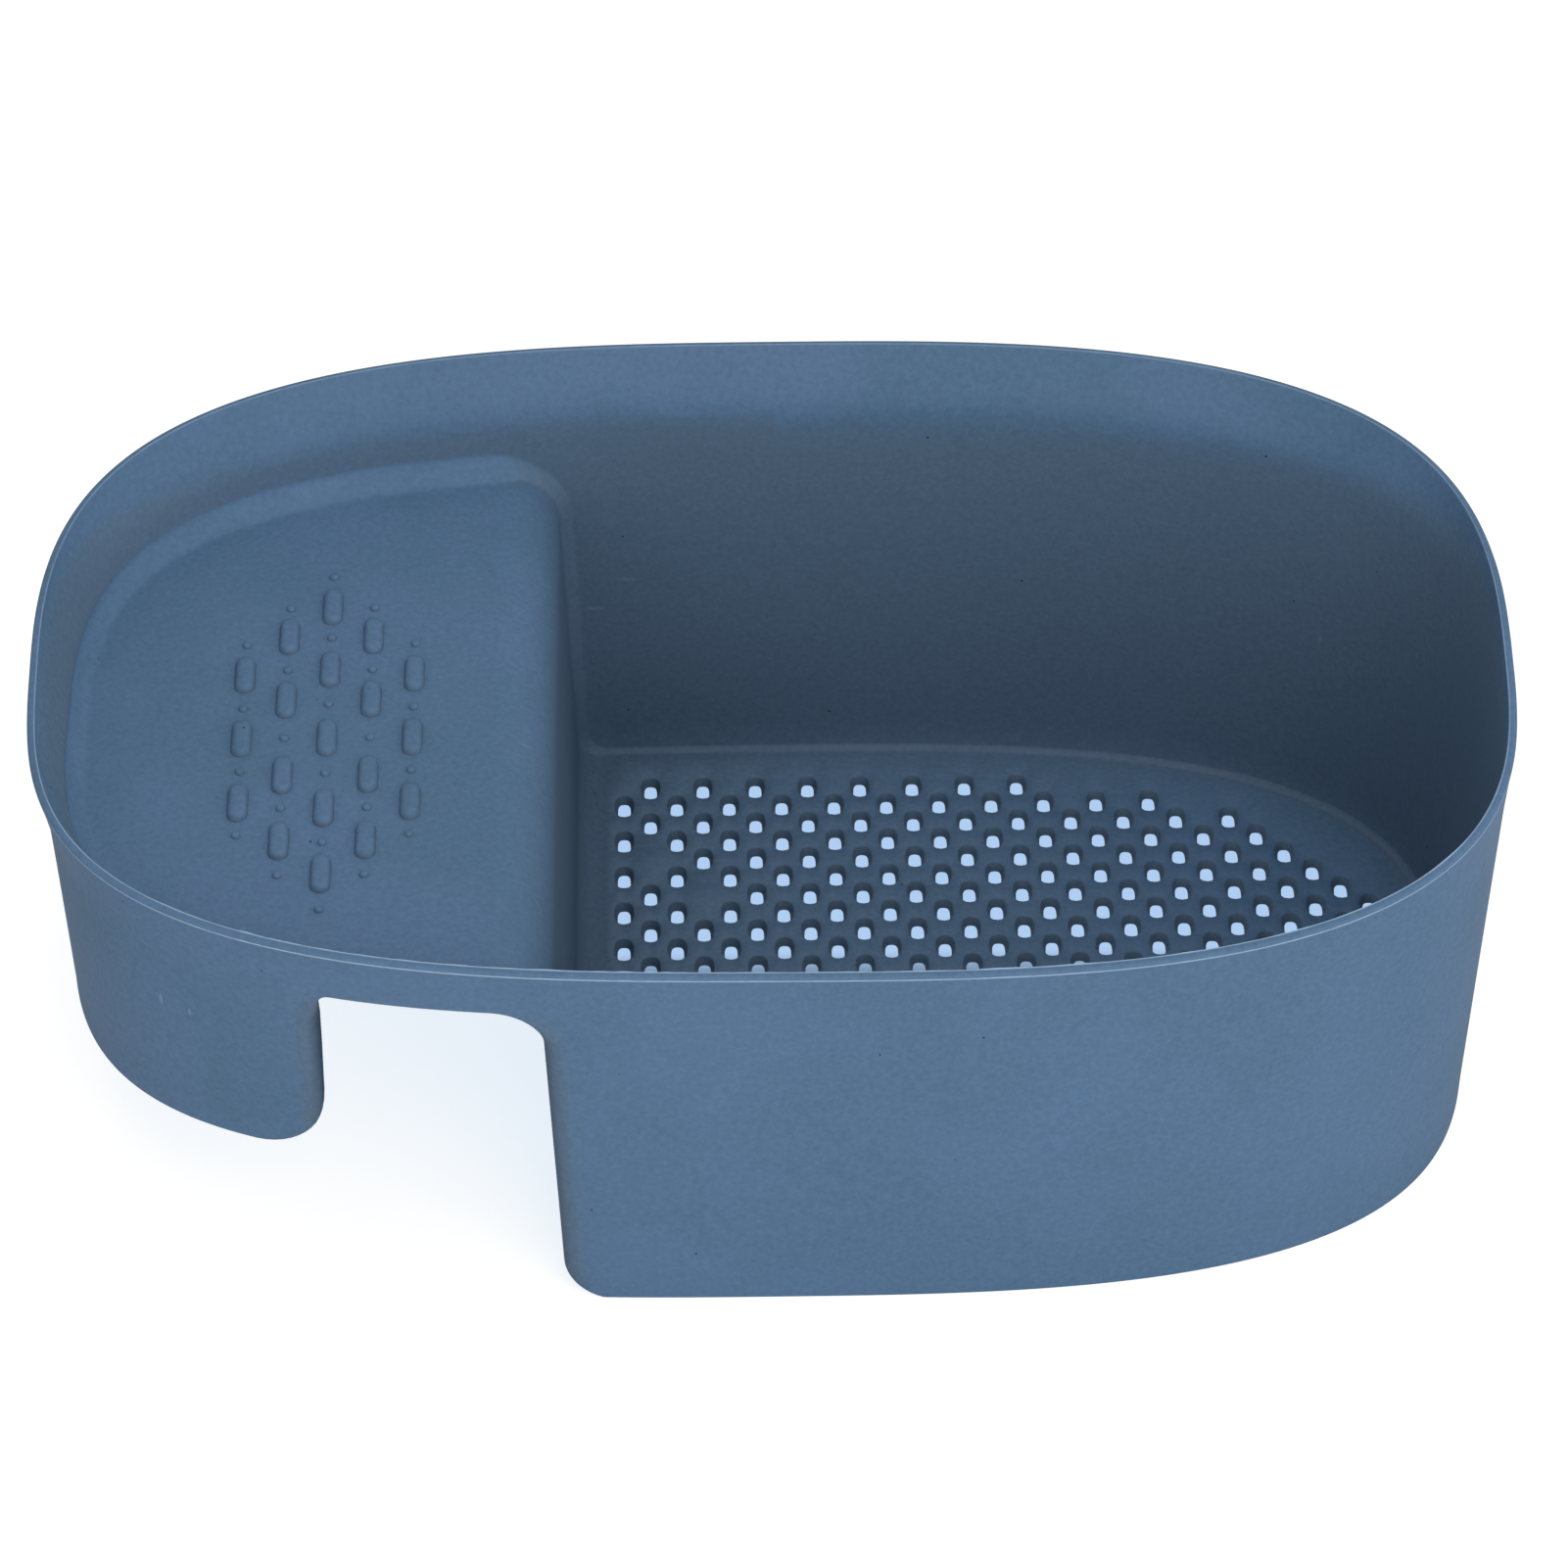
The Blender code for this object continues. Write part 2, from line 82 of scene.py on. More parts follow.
class BasketShape(bpy.types.PropertyGroup):
    """Sizes of the moulding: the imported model's, with the channel's side 0.5 mm off as the photo shows it."""
    half_length: length("Half length", 0.1305, "Half the plan outline's length, at the end rim")
    half_depth: length("Half depth", 0.0738, "Half the plan outline's depth, at the end rim")
    squareness: ratio("Squareness", 2.96, "Power of the superellipse that the outline follows")
    end_height: length("End height", 0.0864, "Height of the rim at both ends")
    front_drop: length("Front drop", 0.0062, "How far the rim falls towards the front")
    front_tilt: length("Front tilt", 0.0014, "How far the front rim falls from its middle to the bowl's end")
    back_rise: length("Back rise", 0.0081, "How far the rim climbs towards the back")
    back_crown: length("Back crown", 0.0009, "How far the back rim's middle stands above its ends")
    end_draft: ratio("End draft", 0.055, "How far the ends draw in per metre of depth")
    back_draft: ratio("Back draft", 0.0204, "How far the back draws in per metre of depth")
    front_draft: ratio("Front draft", 0.0127, "How far the front draws in per metre of depth")
    band: length("Band", 0.0104, "Height of the band that leans out under the rim")
    back_flare: length("Back flare", 0.0062, "How far the band leans out at the back")
    tray_flare: length("Tray flare", 0.0019, "How far the band leans out at the tray's end")
    bowl_flare: length("Bowl flare", 0.0004, "How far the band leans out at the bowl's end")
    rim_edge: length("Rim edge", 0.0004, "Broken edge of the packed rim, which sets the overall depth")
    fold_softness: ratio("Fold softness", 0.30, "Share of the band over which its fold is rounded")
    wall: length("Wall", 0.0016, "Thickness of the moulded sheet")
    floor: length("Floor", 0.0020, "Thickness of the bowl's floor")
    base_edge: length("Base edge", 0.0006, "Round of the base edge")
    floor_fillet: length("Floor fillet", 0.0011, "Radius where the floor meets the wall")
    tray_top: length("Tray height", 0.0724, "Height of the tray's face")
    cove: length("Tray cove", 0.0038, "Size of the slope where the tray sweeps up to the wall")
    tray_lean: length("Tray lean", 0.0026, "Extra thickness at the foot of the wall round the tray's end")
    corner_inside: length("Inside corner", 0.0022, "Radius of the bowl's upright corners, inside")
    corner_outside: length("Outside corner", 0.0034, "Radius of the bowl's upright corners, outside")
    edge_round: length("Edge round", 0.0004, "Broken edge along the saddle and the skirt")
    saddle_left: length("Saddle left", -0.0797, "Where the saddle channel starts")
    saddle_width: length("Saddle width", 0.0387, "Width of the saddle channel under the tray")
    notch_round: length("Notch round", 0.0020, "Radius of the notch's upper left corner")
    divider_draft: ratio("Divider draft", 0.0405, "Slope of the divider")
    roll_radius: length("Roll radius", 0.0106, "Roll of the tray into the divider")
    foot_radius: length("Foot radius", 0.007, "Roll of the divider's foot, outside")
    skirt_bottom: length("Skirt bottom", 0.0323, "Height that the skirt's edge would have at the saddle")
    skirt_slope: ratio("Skirt slope", 0.065, "Slope of the skirt's lower edge")
    skirt_corner: length("Skirt corner", 0.0135, "Radius of the skirt's lower corner at the saddle")
    skirt_round: length("Skirt turn", 0.0038, "Radius where the skirt turns into the saddle")
    setback: length("Setback", 0.0053, "How far the channel wall stands back from the skirt's edge")


class BasketRelief(bpy.types.PropertyGroup):
    """Sizes of the drain slots and of the tray's raised bars and dots."""
    column_step: length("Column step", 0.005, "Spacing of the slots' columns, half the spacing in a row")
    row_step: length("Row step", 0.00493, "Spacing of the slots' rows")
    slot_first: length("First slot", 0.0034, "First column's distance from the divider's foot")
    slot_row_offset: length("Row offset", 0.0053, "How far a row lies behind the middle")
    border_land: length("Border", 0.0009, "Flat border inside the floor's fillet")
    slot_end_margin: length("End margin", 0.0067, "Plain floor at the end of the rows")
    slot_side_margin: length("Side margin", 0.0067, "Plain floor in front of and behind the rows")
    slot_width: length("Slot width", 0.00355, "Width of a slot at the floor's upper face")
    slot_length: length("Slot length", 0.00575, "Length of a slot at the floor's upper face")
    slot_taper: length("Slot taper", 0.00056, "How far a slot's side leans in on its way down")
    bar_width: length("Bar width", 0.0036, "Width of a raised bar")
    bar_length: length("Bar length", 0.0092, "Length of a raised bar")
    bar_height: length("Bar height", 0.0013, "Height of a raised bar")
    bar_column_step: length("Bar column step", 0.0076, "Spacing of the bars' columns")
    bar_setback: length("Bar setback", 0.0300, "Middle column's distance from the roll")
    bar_middle: length("Bar middle", -0.0032, "Middle of the pattern, front to back")
    dot_width: length("Dot width", 0.0017, "Width of a raised dot")
    dot_height: length("Dot height", 0.00065, "Height of a raised dot")


class BasketLook(bpy.types.PropertyGroup):
    """Colours and grain of the plastic, and the level of the studio's light."""
    plastic: colour("Plastic", "5A799B", "Slate-blue polypropylene")
    plastic_shade: colour("Plastic shade", "567695", "Greener patches where the pigment settled")
    # Painted shade: greyer, darker plastic inside the bowl
    core: colour("Core side", "5C748C", "Greyer plastic inside the bowl, which the mould's core leaves dull")
    # Painted shade on the slots' sides
    slot_shade: colour("Slot side", "445A70", "Rough, dark sides of the slots")
    # Whitening along the parting lines and in scuffs, which along the rim also stands for a painted highlight
    bloom_and_highlight: colour("Bloom", "BDD8F0", "Whitened plastic along the parting lines")
    speck: colour("Speck", "1E2A38", "Dark specks in the plastic")
    floor_shade: colour("Floor shade", "DCE8F4", "Cool tint of the shadow on the floor")
    floor_under: colour("Floor under the bowl", "ABCAEE", "Shaded floor that shows through the slots")
    floor_dim: colour("Dim floor", "55718F", "Floor under the bowl where the least light reaches it")
    fill_level: ratio("Fill light", 0.47, "Strength of the even light all round")
    key_level: watts("Key light", 3.3, "Power of the high front softbox")
    low_level: watts("Low light", 2.2, "Power of the low front softbox")
    top_level: watts("Top light", 1.3, "Power of the softbox overhead")
    side_level: watts("Side light", 1.5, "Power of the softbox on the bowl's side")


# Where bars and dots stand along each column, by how many columns it is from the middle one
BAR_ROWS = {0: (-0.0353, -0.0184, 0.0, 0.0183, 0.0353), 1: (-0.0268, -0.0098, 0.0102, 0.0273),
            2: (-0.0169, 0.0, 0.0170)}
DOT_ROWS = {0: (-0.0442, -0.0271, -0.0092, 0.0092, 0.0271, 0.0438),
            1: (-0.0354, -0.0182, 0.0002, 0.0184, 0.0352), 2: (-0.0251, -0.0085, 0.0082, 0.0253)}
# Columns and rows of the places on the slots' grid that stay closed
SLOTS_NOT_OPEN = {(1, 7), (3, 5)}
# Slots: power of the oblong at the top and at the foot, the rounding of its edges and the points of its ring
SLOT_TOP_POWER = 2.5
SLOT_FOOT_POWER = 2.9
SLOT_EDGE = 0.00022
SLOT_FOOT_EDGE = 0.00012
SLOT_POINTS = 16
# Points closer than this are one, and edges bent by more than this look sharp
WELD_STEP = 1e-7
SHARP_ANGLE = math.radians(50)
SHELL_NODES = ("rim_band", "bowl_wall", "divider_wall", "skirt_wall", "channel_wall", "soap_tray")


def shape():
    """The scene's sizes of the moulding."""
    return bpy.context.scene.basket_shape


# Outline, wall and rim

def plan_outline(turn):
    """Superellipse in polar form, with its outward normal: |x/a|^n + |y/b|^n = 1."""
    s = shape()
    cos, sin = np.cos(turn), np.sin(turn)
    power = s.squareness
    reach = (np.abs(cos / s.half_length) ** power + np.abs(sin / s.half_depth) ** power) ** (-1 / power)
    x, y = reach * cos, reach * sin
    nx = np.sign(x) * np.abs(x / s.half_length) ** (power - 1) / s.half_length
    ny = np.sign(y) * np.abs(y / s.half_depth) ** (power - 1) / s.half_depth
    size = np.hypot(nx, ny)
    return x, y, nx / size, ny / size


def rim_height(turn):
    """A slope front to back plus a square of it, which is crowned at the back and tilted at the front."""
    s = shape()
    x, y = plan_outline(turn)[:2]
    along, depth = x / s.half_length, y / s.half_depth
    slope, sweep = (s.back_rise + s.front_drop) / 2, (s.back_rise - s.front_drop) / 2
    sweep = sweep + np.where(depth > 0, s.back_crown * (1 - along ** 2), -s.front_tilt * along)
    return s.end_height + slope * depth + sweep * depth ** 2


def lean(turn, z):
    """0 well below the band's fold and 1 at the rim: a straight ramp whose start is rounded."""
    s = shape()
    climb = 1 - (rim_height(turn) - z) / s.band
    soft = s.fold_softness
    return (climb + np.sqrt(climb ** 2 + soft ** 2)) / (1 + math.sqrt(1 + soft ** 2))


def wall_point(turn, z, inset):
    """Outline moved along its own plan normal by the draft, the band's lean and an inset."""
    s = shape()
    x, y, nx, ny = plan_outline(turn)
    ends, sides = nx ** 2, ny ** 2
    draft = (s.end_height - z) * (s.end_draft * ends + np.where(ny > 0, s.back_draft, s.front_draft) * sides)
    reach = np.where(nx > 0, s.bowl_flare, s.tray_flare) * ends + s.back_flare * sides * (ny > 0)
    shift = lean(turn, z) * reach - draft - inset
    return x + shift * nx, y + shift * ny


def lining(turn, z):
    """Thickness of the wall, which grows evenly from the rim down to the cove round the tray's end."""
    s = shape()
    nx = plan_outline(turn)[2]
    top = rim_height(turn) - LINING_START
    share = np.clip((top - z) / (top - s.tray_top - s.cove), 0, 1)
    return s.wall + s.tray_lean * share * np.minimum(nx, 0) ** 2


def turn_at_x(target, z, inset, side):
    """Polar angle where the wall passes a given x, by Newton steps from the plain outline's own angle."""
    s = shape()
    target, z, inset = np.broadcast_arrays(np.asarray(target, float), z, inset)
    y = s.half_depth * (1 - np.abs(target / s.half_length) ** s.squareness) ** (1 / s.squareness)
    turn = np.arctan2(side * y, target)
    for _ in range(12):
        here = wall_point(turn, z, inset)[0]
        slope = (wall_point(turn + 1e-5, z, inset)[0] - here) / 1e-5
        turn = turn - (here - target) / slope
    return turn


def body_shift():
    """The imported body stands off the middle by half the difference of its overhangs, in x and in y."""
    s = shape()
    edge = 1 - s.rim_edge / s.band
    back = edge * s.back_flare + (s.back_rise + s.back_crown - s.rim_edge) * s.back_draft
    front = -(s.front_drop + s.rim_edge) * s.front_draft
    return np.array([edge * (s.tray_flare - s.bowl_flare) / 2, (front - back) / 2, 0.0])


# The two sheets that the wall meets, as profiles in x and z

def arc(centre, radius, start, end, count, sign, skip=0):
    """Points on an arc in x and z with normals along the radius, angles in degrees, past those skipped."""
    angle = np.radians(np.linspace(start, end, count + skip))[skip:]
    way = np.stack([np.cos(angle), np.sin(angle)], 1)
    return np.array(centre) + radius * way, sign * way


def straight(start, end, count, normal):
    """Points on a line in x and z, without its first point, with one normal."""
    share = np.linspace(0, 1, count + 1)[1:, None]
    points = np.array(start) * (1 - share) + np.array(end) * share
    way = np.array(normal, float) / math.hypot(*normal)
    return points, np.repeat(way[None], count, 0)


# Each stretch of ribs, from the tray's tip to the bowl's: how many, and the x on the rim where it ends
RIBS = {"skirt": (58, -0.0955), "corner": (9, -0.0895), "return": (4, -0.0883), "side": (12, -0.0840),
        "nick": (5, -0.0792), "seat": (22, -0.0512), "roll": (11, -0.0335), "divider": (20, -0.0190),
        "foot": (9, -0.0120), "bowl": (112, None)}
# Where the lining starts under the rim, and how far past the roll's centres the flat stretches keep clear
LINING_START = 0.0008
FOOT_CLEAR = 0.0012
SEAT_CLEAR = 0.0005


def rib_layout():
    """Where each rib stands on the rim, as an angle, and the number of each stretch's first rib.

    The third value is a table of angles and arc lengths from the tray's tip.
    """
    s = shape()
    turns = np.linspace(math.pi, 0, 20001)
    x, y = plan_outline(turns)[:2]
    walked = np.concatenate([[0], np.cumsum(np.hypot(np.diff(x), np.diff(y)))])
    stops = [0] + [walked[-1] if end is None else np.interp(end, x, walked) for _, end in RIBS.values()]
    spots, first = [], {}
    for (name, (count, _)), low, high in zip(RIBS.items(), stops, stops[1:]):
        first[name] = sum(len(part) for part in spots)
        spots.append(np.linspace(low, high, count + 1)[1:] if spots else np.linspace(low, high, count + 1))
    along = np.concatenate(spots)
    first["end"] = len(along)
    return np.interp(along, walked, turns), first, (turns, walked)


def blank_sheet(rim_turn):
    """Contact data for every rib: angle, point and normal in x and z, whether the sheet is bent, and radius.

    Flat stretches keep the rib's own angle. Bent stretches give a point and a normal, from which the rib is
    worked out.
    """
    count = len(rim_turn)
    return (rim_turn.copy(), np.zeros((count, 2)), np.tile([0.0, 1.0], (count, 1)), np.zeros(count, bool),
            np.zeros(count))


def stretches(first):
    """Each stretch's ribs as a slice, and how many it has."""
    names = list(first)
    at = {name: slice(first[name], first[after]) for name, after in zip(names, names[1:])}
    return at, {name: part.stop - part.start for name, part in at.items()}


def eased(low, high, count, skip=0):
    """Values that leave the low one slowly and reach the high one, past those skipped."""
    return low + (high - low) * np.linspace(0, 1, count + skip)[skip:] ** 2


def inner_sheet(rim_turn, first, table):
    """Contact data of the tray, roll, divider, foot and floor."""
    s = shape()
    turn, point, normal, bent, radius = blank_sheet(rim_turn)
    at, many = stretches(first)
    top_x = s.saddle_left + s.saddle_width + s.wall
    roll_centre = (top_x - s.roll_radius, s.tray_top - s.roll_radius)
    foot_x = top_x - s.wall + s.divider_draft * (roll_centre[1] - s.foot_radius)
    inside = s.foot_radius - s.wall
    foot_centre = (foot_x + s.foot_radius, s.floor + inside)
    start, stop = (top_x, roll_centre[1]), (foot_centre[0] - inside, foot_centre[1])
    for name, values in (
            ("roll", arc(roll_centre, s.roll_radius, 90, 0, many["roll"], 1)),
            ("divider", straight(start, stop, many["divider"], (start[1] - stop[1], stop[0] - start[0]))),
            ("foot", arc(foot_centre, inside, 180, 270, many["foot"], -1, 1))):
        point[at[name]], normal[at[name]] = values
    # The cove is a fifth smaller round the tray's end, and shrinks over the first third of the roll
    tray = slice(0, first["roll"])
    point[tray, 1] = s.tray_top
    radius[tray] = s.cove * (1 - 0.22 * np.minimum(plan_outline(rim_turn)[2], 0) ** 2)[tray]
    end_cove = radius[first["roll"] - 1]
    shrunk = np.clip(np.linspace(0, 3, many["roll"]), 0, 1)
    radius[at["roll"]] = end_cove + (s.corner_inside - end_cove) * shrunk
    radius[at["divider"]] = s.corner_inside
    radius[at["foot"]] = eased(s.corner_inside, s.floor_fillet, many["foot"], 1)
    radius[at["bowl"]] = s.floor_fillet
    bent[first["roll"]:first["bowl"]] = True
    point[at["bowl"], 1] = s.floor
    turn[at["bowl"]] = spread(
        foot_centre[0] + FOOT_CLEAR, s.floor, s.wall + s.floor_fillet, many["bowl"], table)
    return turn, point, normal, bent, radius


def spread(x_start, z, inset, count, table):
    """Angles evenly spread along the outline from where the wall passes x_start to the bowl's tip."""
    turns, walked = table
    start = np.interp(-float(turn_at_x(x_start, z, inset, 1)), -turns, walked)
    return np.interp(np.linspace(start, walked[-1], count), walked, turns)


def skirt_corner_centre():
    """Centre of the round that touches the saddle's side and the skirt's sloping lower edge, in x and z."""
    s = shape()
    slope = math.atan(s.skirt_slope)
    return (s.saddle_left - s.skirt_corner,
            s.skirt_bottom + s.skirt_corner * (1 / math.cos(slope) - s.skirt_slope))


def lower_sheet(rim_turn, first, table):
    """Contact data of the skirt's edge, return wall, saddle seat, channel face, foot and base."""
    s = shape()
    turn, point, normal, bent, radius = blank_sheet(rim_turn)
    at, many = stretches(first)
    corner_centre = skirt_corner_centre()
    tangent = math.degrees(math.atan(s.skirt_slope)) - 90
    turned = -math.degrees(math.acos(1 - s.wall / s.skirt_corner))
    seat_z = s.tray_top - s.wall
    nick_centre = (s.saddle_left + s.notch_round, seat_z - s.notch_round)
    channel_x = s.saddle_left + s.saddle_width
    roll_centre = (channel_x + s.wall - s.roll_radius, s.tray_top - s.roll_radius)
    foot_x = channel_x + s.divider_draft * (roll_centre[1] - s.foot_radius)
    foot_centre = (foot_x + s.foot_radius, s.foot_radius)
    start, stop = (channel_x, roll_centre[1]), (foot_x, foot_centre[1])
    for name, values in (
            ("corner", arc(corner_centre, s.skirt_corner, tangent, turned, many["corner"], -1)),
            ("return", arc(corner_centre, s.skirt_corner, turned, 0, many["return"], -1, 1)),
            ("side", straight((s.saddle_left, corner_centre[1]), (s.saddle_left, nick_centre[1]),
                              many["side"], (-1, 0))),
            ("nick", arc(nick_centre, s.notch_round, 180, 90, many["nick"], 1, 1)),
            ("seat", straight((nick_centre[0], seat_z), (roll_centre[0] - SEAT_CLEAR, seat_z),
                              many["seat"], (0, 1))),
            ("roll", arc(roll_centre, s.roll_radius - s.wall, 90, 0, many["roll"], 1)),
            ("divider", straight(start, stop, many["divider"], (start[1] - stop[1], stop[0] - start[0]))),
            ("foot", arc(foot_centre, s.foot_radius, 180, 270, many["foot"], -1, 1))):
        point[at[name]], normal[at[name]] = values
    plan_x = wall_point(rim_turn[at["skirt"]], s.skirt_bottom, 0.0)[0]
    point[at["skirt"], 1] = s.skirt_bottom + s.skirt_slope * (plan_x - s.saddle_left)
    bent[first["corner"]:first["bowl"]] = True
    turn[at["bowl"]] = spread(foot_centre[0] + FOOT_CLEAR, 0.0, s.base_edge, many["bowl"], table)
    hollow_edge = s.wall - LAND
    for name, values in (
            ("skirt", s.edge_round), ("corner", np.linspace(s.edge_round, hollow_edge, many["corner"])),
            ("side", s.skirt_round), ("nick", s.edge_round), ("seat", s.edge_round),
            ("roll", eased(s.edge_round, s.corner_outside, many["roll"])), ("divider", s.corner_outside),
            ("foot", eased(s.corner_outside, s.base_edge, many["foot"], 1)), ("bowl", s.base_edge)):
        radius[at[name]] = values
    # The skirt's turn grows from the return wall to the side's fifth rib, and shrinks over its last three
    grown = slice(first["return"], first["side"] + 5)
    radius[grown] = np.linspace(hollow_edge, s.skirt_round, grown.stop - grown.start + 1)[1:]
    shrunk = slice(first["nick"] - 3, first["nick"])
    radius[shrunk] = np.linspace(s.skirt_round, 2 * s.edge_round, 4)[1:]
    return turn, point, normal, bent, radius


def meeting(sheet, depth, swing, lined, power, side):
    """Points of the round where a sheet meets the wall.

    A quarter turn carries the point from the sheet, one radius from the wall, to the wall, one radius from
    the sheet, its sine and cosine each raised to a power: 1 gives an arc, more gives a flat slope with tight
    ends. On a bent stretch the point leaves the sheet along its normal and finds the wall at its own x.
    """
    turn, point, normal, bent, radius = sheet
    away = radius[:, None] * (1 - np.sin(swing) ** power)[None]
    inside = radius[:, None] * (1 - np.cos(swing) ** power)[None] + depth
    x = point[:, :1] + normal[:, :1] * away
    z = point[:, 1:] + normal[:, 1:] * away
    angle = np.repeat(side * turn[:, None], len(swing), 1)
    inset = inside + (lining(angle, z) if lined else 0.0)
    if bent.any():
        angle[bent] = turn_at_x(x[bent], z[bent], inset[bent], side)
    plan = wall_point(angle, z, inset)
    return np.stack([plan[0], plan[1], z], 2), angle


def flash_noise(count, seed):
    """Values from 0 to 1 that wander along a line, for the ragged parting flash."""
    values = np.random.default_rng(seed).random(count)
    kernel = np.array([0.25, 0.5, 0.25])
    return np.convolve(np.concatenate([values[-1:], values, values[:1]]), kernel, "valid")


# Rim from inside to outside: share of the wall's thickness, depth under the rim in mm, and share of flash
RIM_PROFILE = ((1.0, 0.75, 0), (1.0, 0.40, 0), (0.99, 0.18, 0), (0.955, 0.08, 1), (0.90, 0.02, 1),
               (0.84, 0.08, 0.4), (0.76, 0.10, 0), (0.58, 0.10, 0), (0.40, 0.15, 0), (0.24, 0.26, 0),
               (0.12, 0.42, 0), (0.06, 0.60, 0), (0.05, 0.74, 0.3), (0.0, 0.80, 1), (0.0, 0.93, 1),
               (0.05, 1.02, 0.2), (0.05, 1.2, 0))
# Height of the flash, and how far the whole rim is sunk to leave room for it, in mm
FLASH_HEIGHT = 0.24
RIM_SUNK = 0.08
# Rows of a sheet, as shares of the way from the middle to the edge, and steps of the rounds and the walls
SHEET_SHARES = np.array(
    [0, 0.2, 0.4, 0.6, 0.75, 0.85, 0.88, 0.9, 0.92, 0.935, 0.95, 0.965, 0.98, 0.99, 0.996])
ROUND_STEPS = 9
LOW_STEPS = 13
HIGH_STEPS = 12
# The inner rounds are flattened into a slope by this power, and a flat land lies beside each round
SLOPE_POWER = 1.45
LAND = 0.0007
# The tray's rows fan out round its tip: where this starts, over what length, and how far it draws them in
FAN_START = -0.0815
FAN_LENGTH = 0.045
FAN_REACH = 0.014
# The ribs stand upright from this many bands under the rim, or from this share of the wall
KNEE_DEPTH = 1.7
KNEE_SHARE = 0.35
# Depth over which the channel wall's setback fades out at the skirt, front and back
FADE = 0.007
# The x from which the hollow's roof is drawn back with the channel wall
ROOF_START = -0.100
# Width of the painted shade strips beside the channel, and the height over which they fade in under the tray
CHANNEL_SHADE_WIDTH = 0.005
CHANNEL_SHADE_FADE = 0.008


def across(edge, middle, shares):
    """Rows over a sheet, from its middle line at y = 0 out to an edge, as straight blends of the two."""
    start = np.stack([middle, np.zeros(len(middle)), edge[:, 2]], 1)[:, None]
    return start + (edge[:, None] - start) * shares[None, :, None]


def fan(middle):
    """Middle line drawn in towards the tray's tip, so that the rows fan out round it."""
    share = np.clip((FAN_START - middle) / FAN_LENGTH, 0, 1)
    return middle + FAN_REACH * share ** 2


def half_ribs():
    """Both halves of every rib, from the middle of the upper sheet over the rim to that of the lower sheet.

    Returns points and weights for the back (1) and the front (-1), and the rows and ribs where stretches
    begin. The weights are the parting flash, whose whitening also stands for a painted highlight along the
    rim, and the tone of painted shade: 0 outside and on the tray, 1 deep inside the bowl and 2 where the
    painted shade is darkest.
    """
    s = shape()
    rim_turn, first, table = rib_layout()
    count = first["end"]
    swing = np.concatenate([[math.pi / 2], np.linspace(math.pi / 2, 0, ROUND_STEPS)])
    depth = np.zeros((count, len(swing)))
    depth[:, 0] = LAND
    # The base's land runs in as far as the floor's, so that the strainer's edge stands upright
    toe = depth.copy()
    foot, bowl = first["foot"], first["bowl"]
    toe[bowl:, 0] += s.wall + s.floor_fillet - s.base_edge
    toe[foot:bowl, 0] = np.linspace(LAND, toe[bowl, 0], bowl - foot)
    ragged = flash_noise(2 * count - 2, 11)
    profile = np.array(RIM_PROFILE)
    rounds = {}
    upper = inner_sheet(rim_turn, first, table)
    under = lower_sheet(rim_turn, first, table)
    for side in (1, -1):
        rounds[side] = (meeting(upper, depth, swing, True, SLOPE_POWER, side),
                        meeting(under, toe[:, ::-1], swing[::-1], False, 1.0, side))
    top_middle = fan((rounds[1][0][0][:, 0, 0] + rounds[-1][0][0][:, 0, 0]) / 2)
    low_middle = (rounds[1][1][0][:, -1, 0] + rounds[-1][1][0][:, -1, 0]) / 2
    halves = {}
    for side in (1, -1):
        (inside, inside_turn), (outside, outside_turn) = rounds[side]
        turn = side * rim_turn[:, None]
        rim = rim_height(turn)
        wander = ragged[side * np.arange(count)][:, None]
        # The flash is strongest along the front
        facing = np.interp(plan_outline(turn)[3], (-1, -0.4, 0.2), (1.0, 0.8, 0.3))
        raised = profile[None, :, 2] * wander ** 2 * facing * FLASH_HEIGHT - RIM_SUNK
        z = rim - (profile[None, :, 1] - raised) * 0.001
        lip = np.stack([*wall_point(turn, z, profile[None, :, 0] * s.wall), z], 2)
        skin = profile[-1, 0] * s.wall
        below = across(outside[:, -1], low_middle, SHEET_SHARES[::-1])
        parts = [across(inside[:, 0], top_middle, SHEET_SHARES), inside,
                 climb(inside[:, -1, 2:], inside_turn[:, -1:], turn, rim, lip[:, :1, 2], None), lip,
                 climb(outside[:, 0, 2:], outside_turn[:, :1], turn, rim, lip[:, -1:, 2], skin)[:, ::-1],
                 outside, stand_back(below, outside[first["side"], -1, 1], under[1], first)]
        points = np.concatenate(parts, 1)
        starts = np.cumsum([0] + [part.shape[1] for part in parts])
        weights = np.zeros((*points.shape[:2], 2))
        # Whitened parting flash, which also stands for a painted highlight along the rim's edge, strongest
        # along the front
        weights[:, starts[3]:starts[4], 0] = profile[None, :, 2] * (0.5 + 0.5 * wander) * facing
        # Painted shade inside the bowl, and on the outside beside the channel
        weights[:, :starts[3], 1] = inner_painted_shade(points[:, :starts[3], 2], turn, rim, starts, first)
        weights[:, starts[4]:, 1] = edge_painted_shade(points[:, starts[4]:])
        halves[side] = (points, weights)
    return halves, starts, first


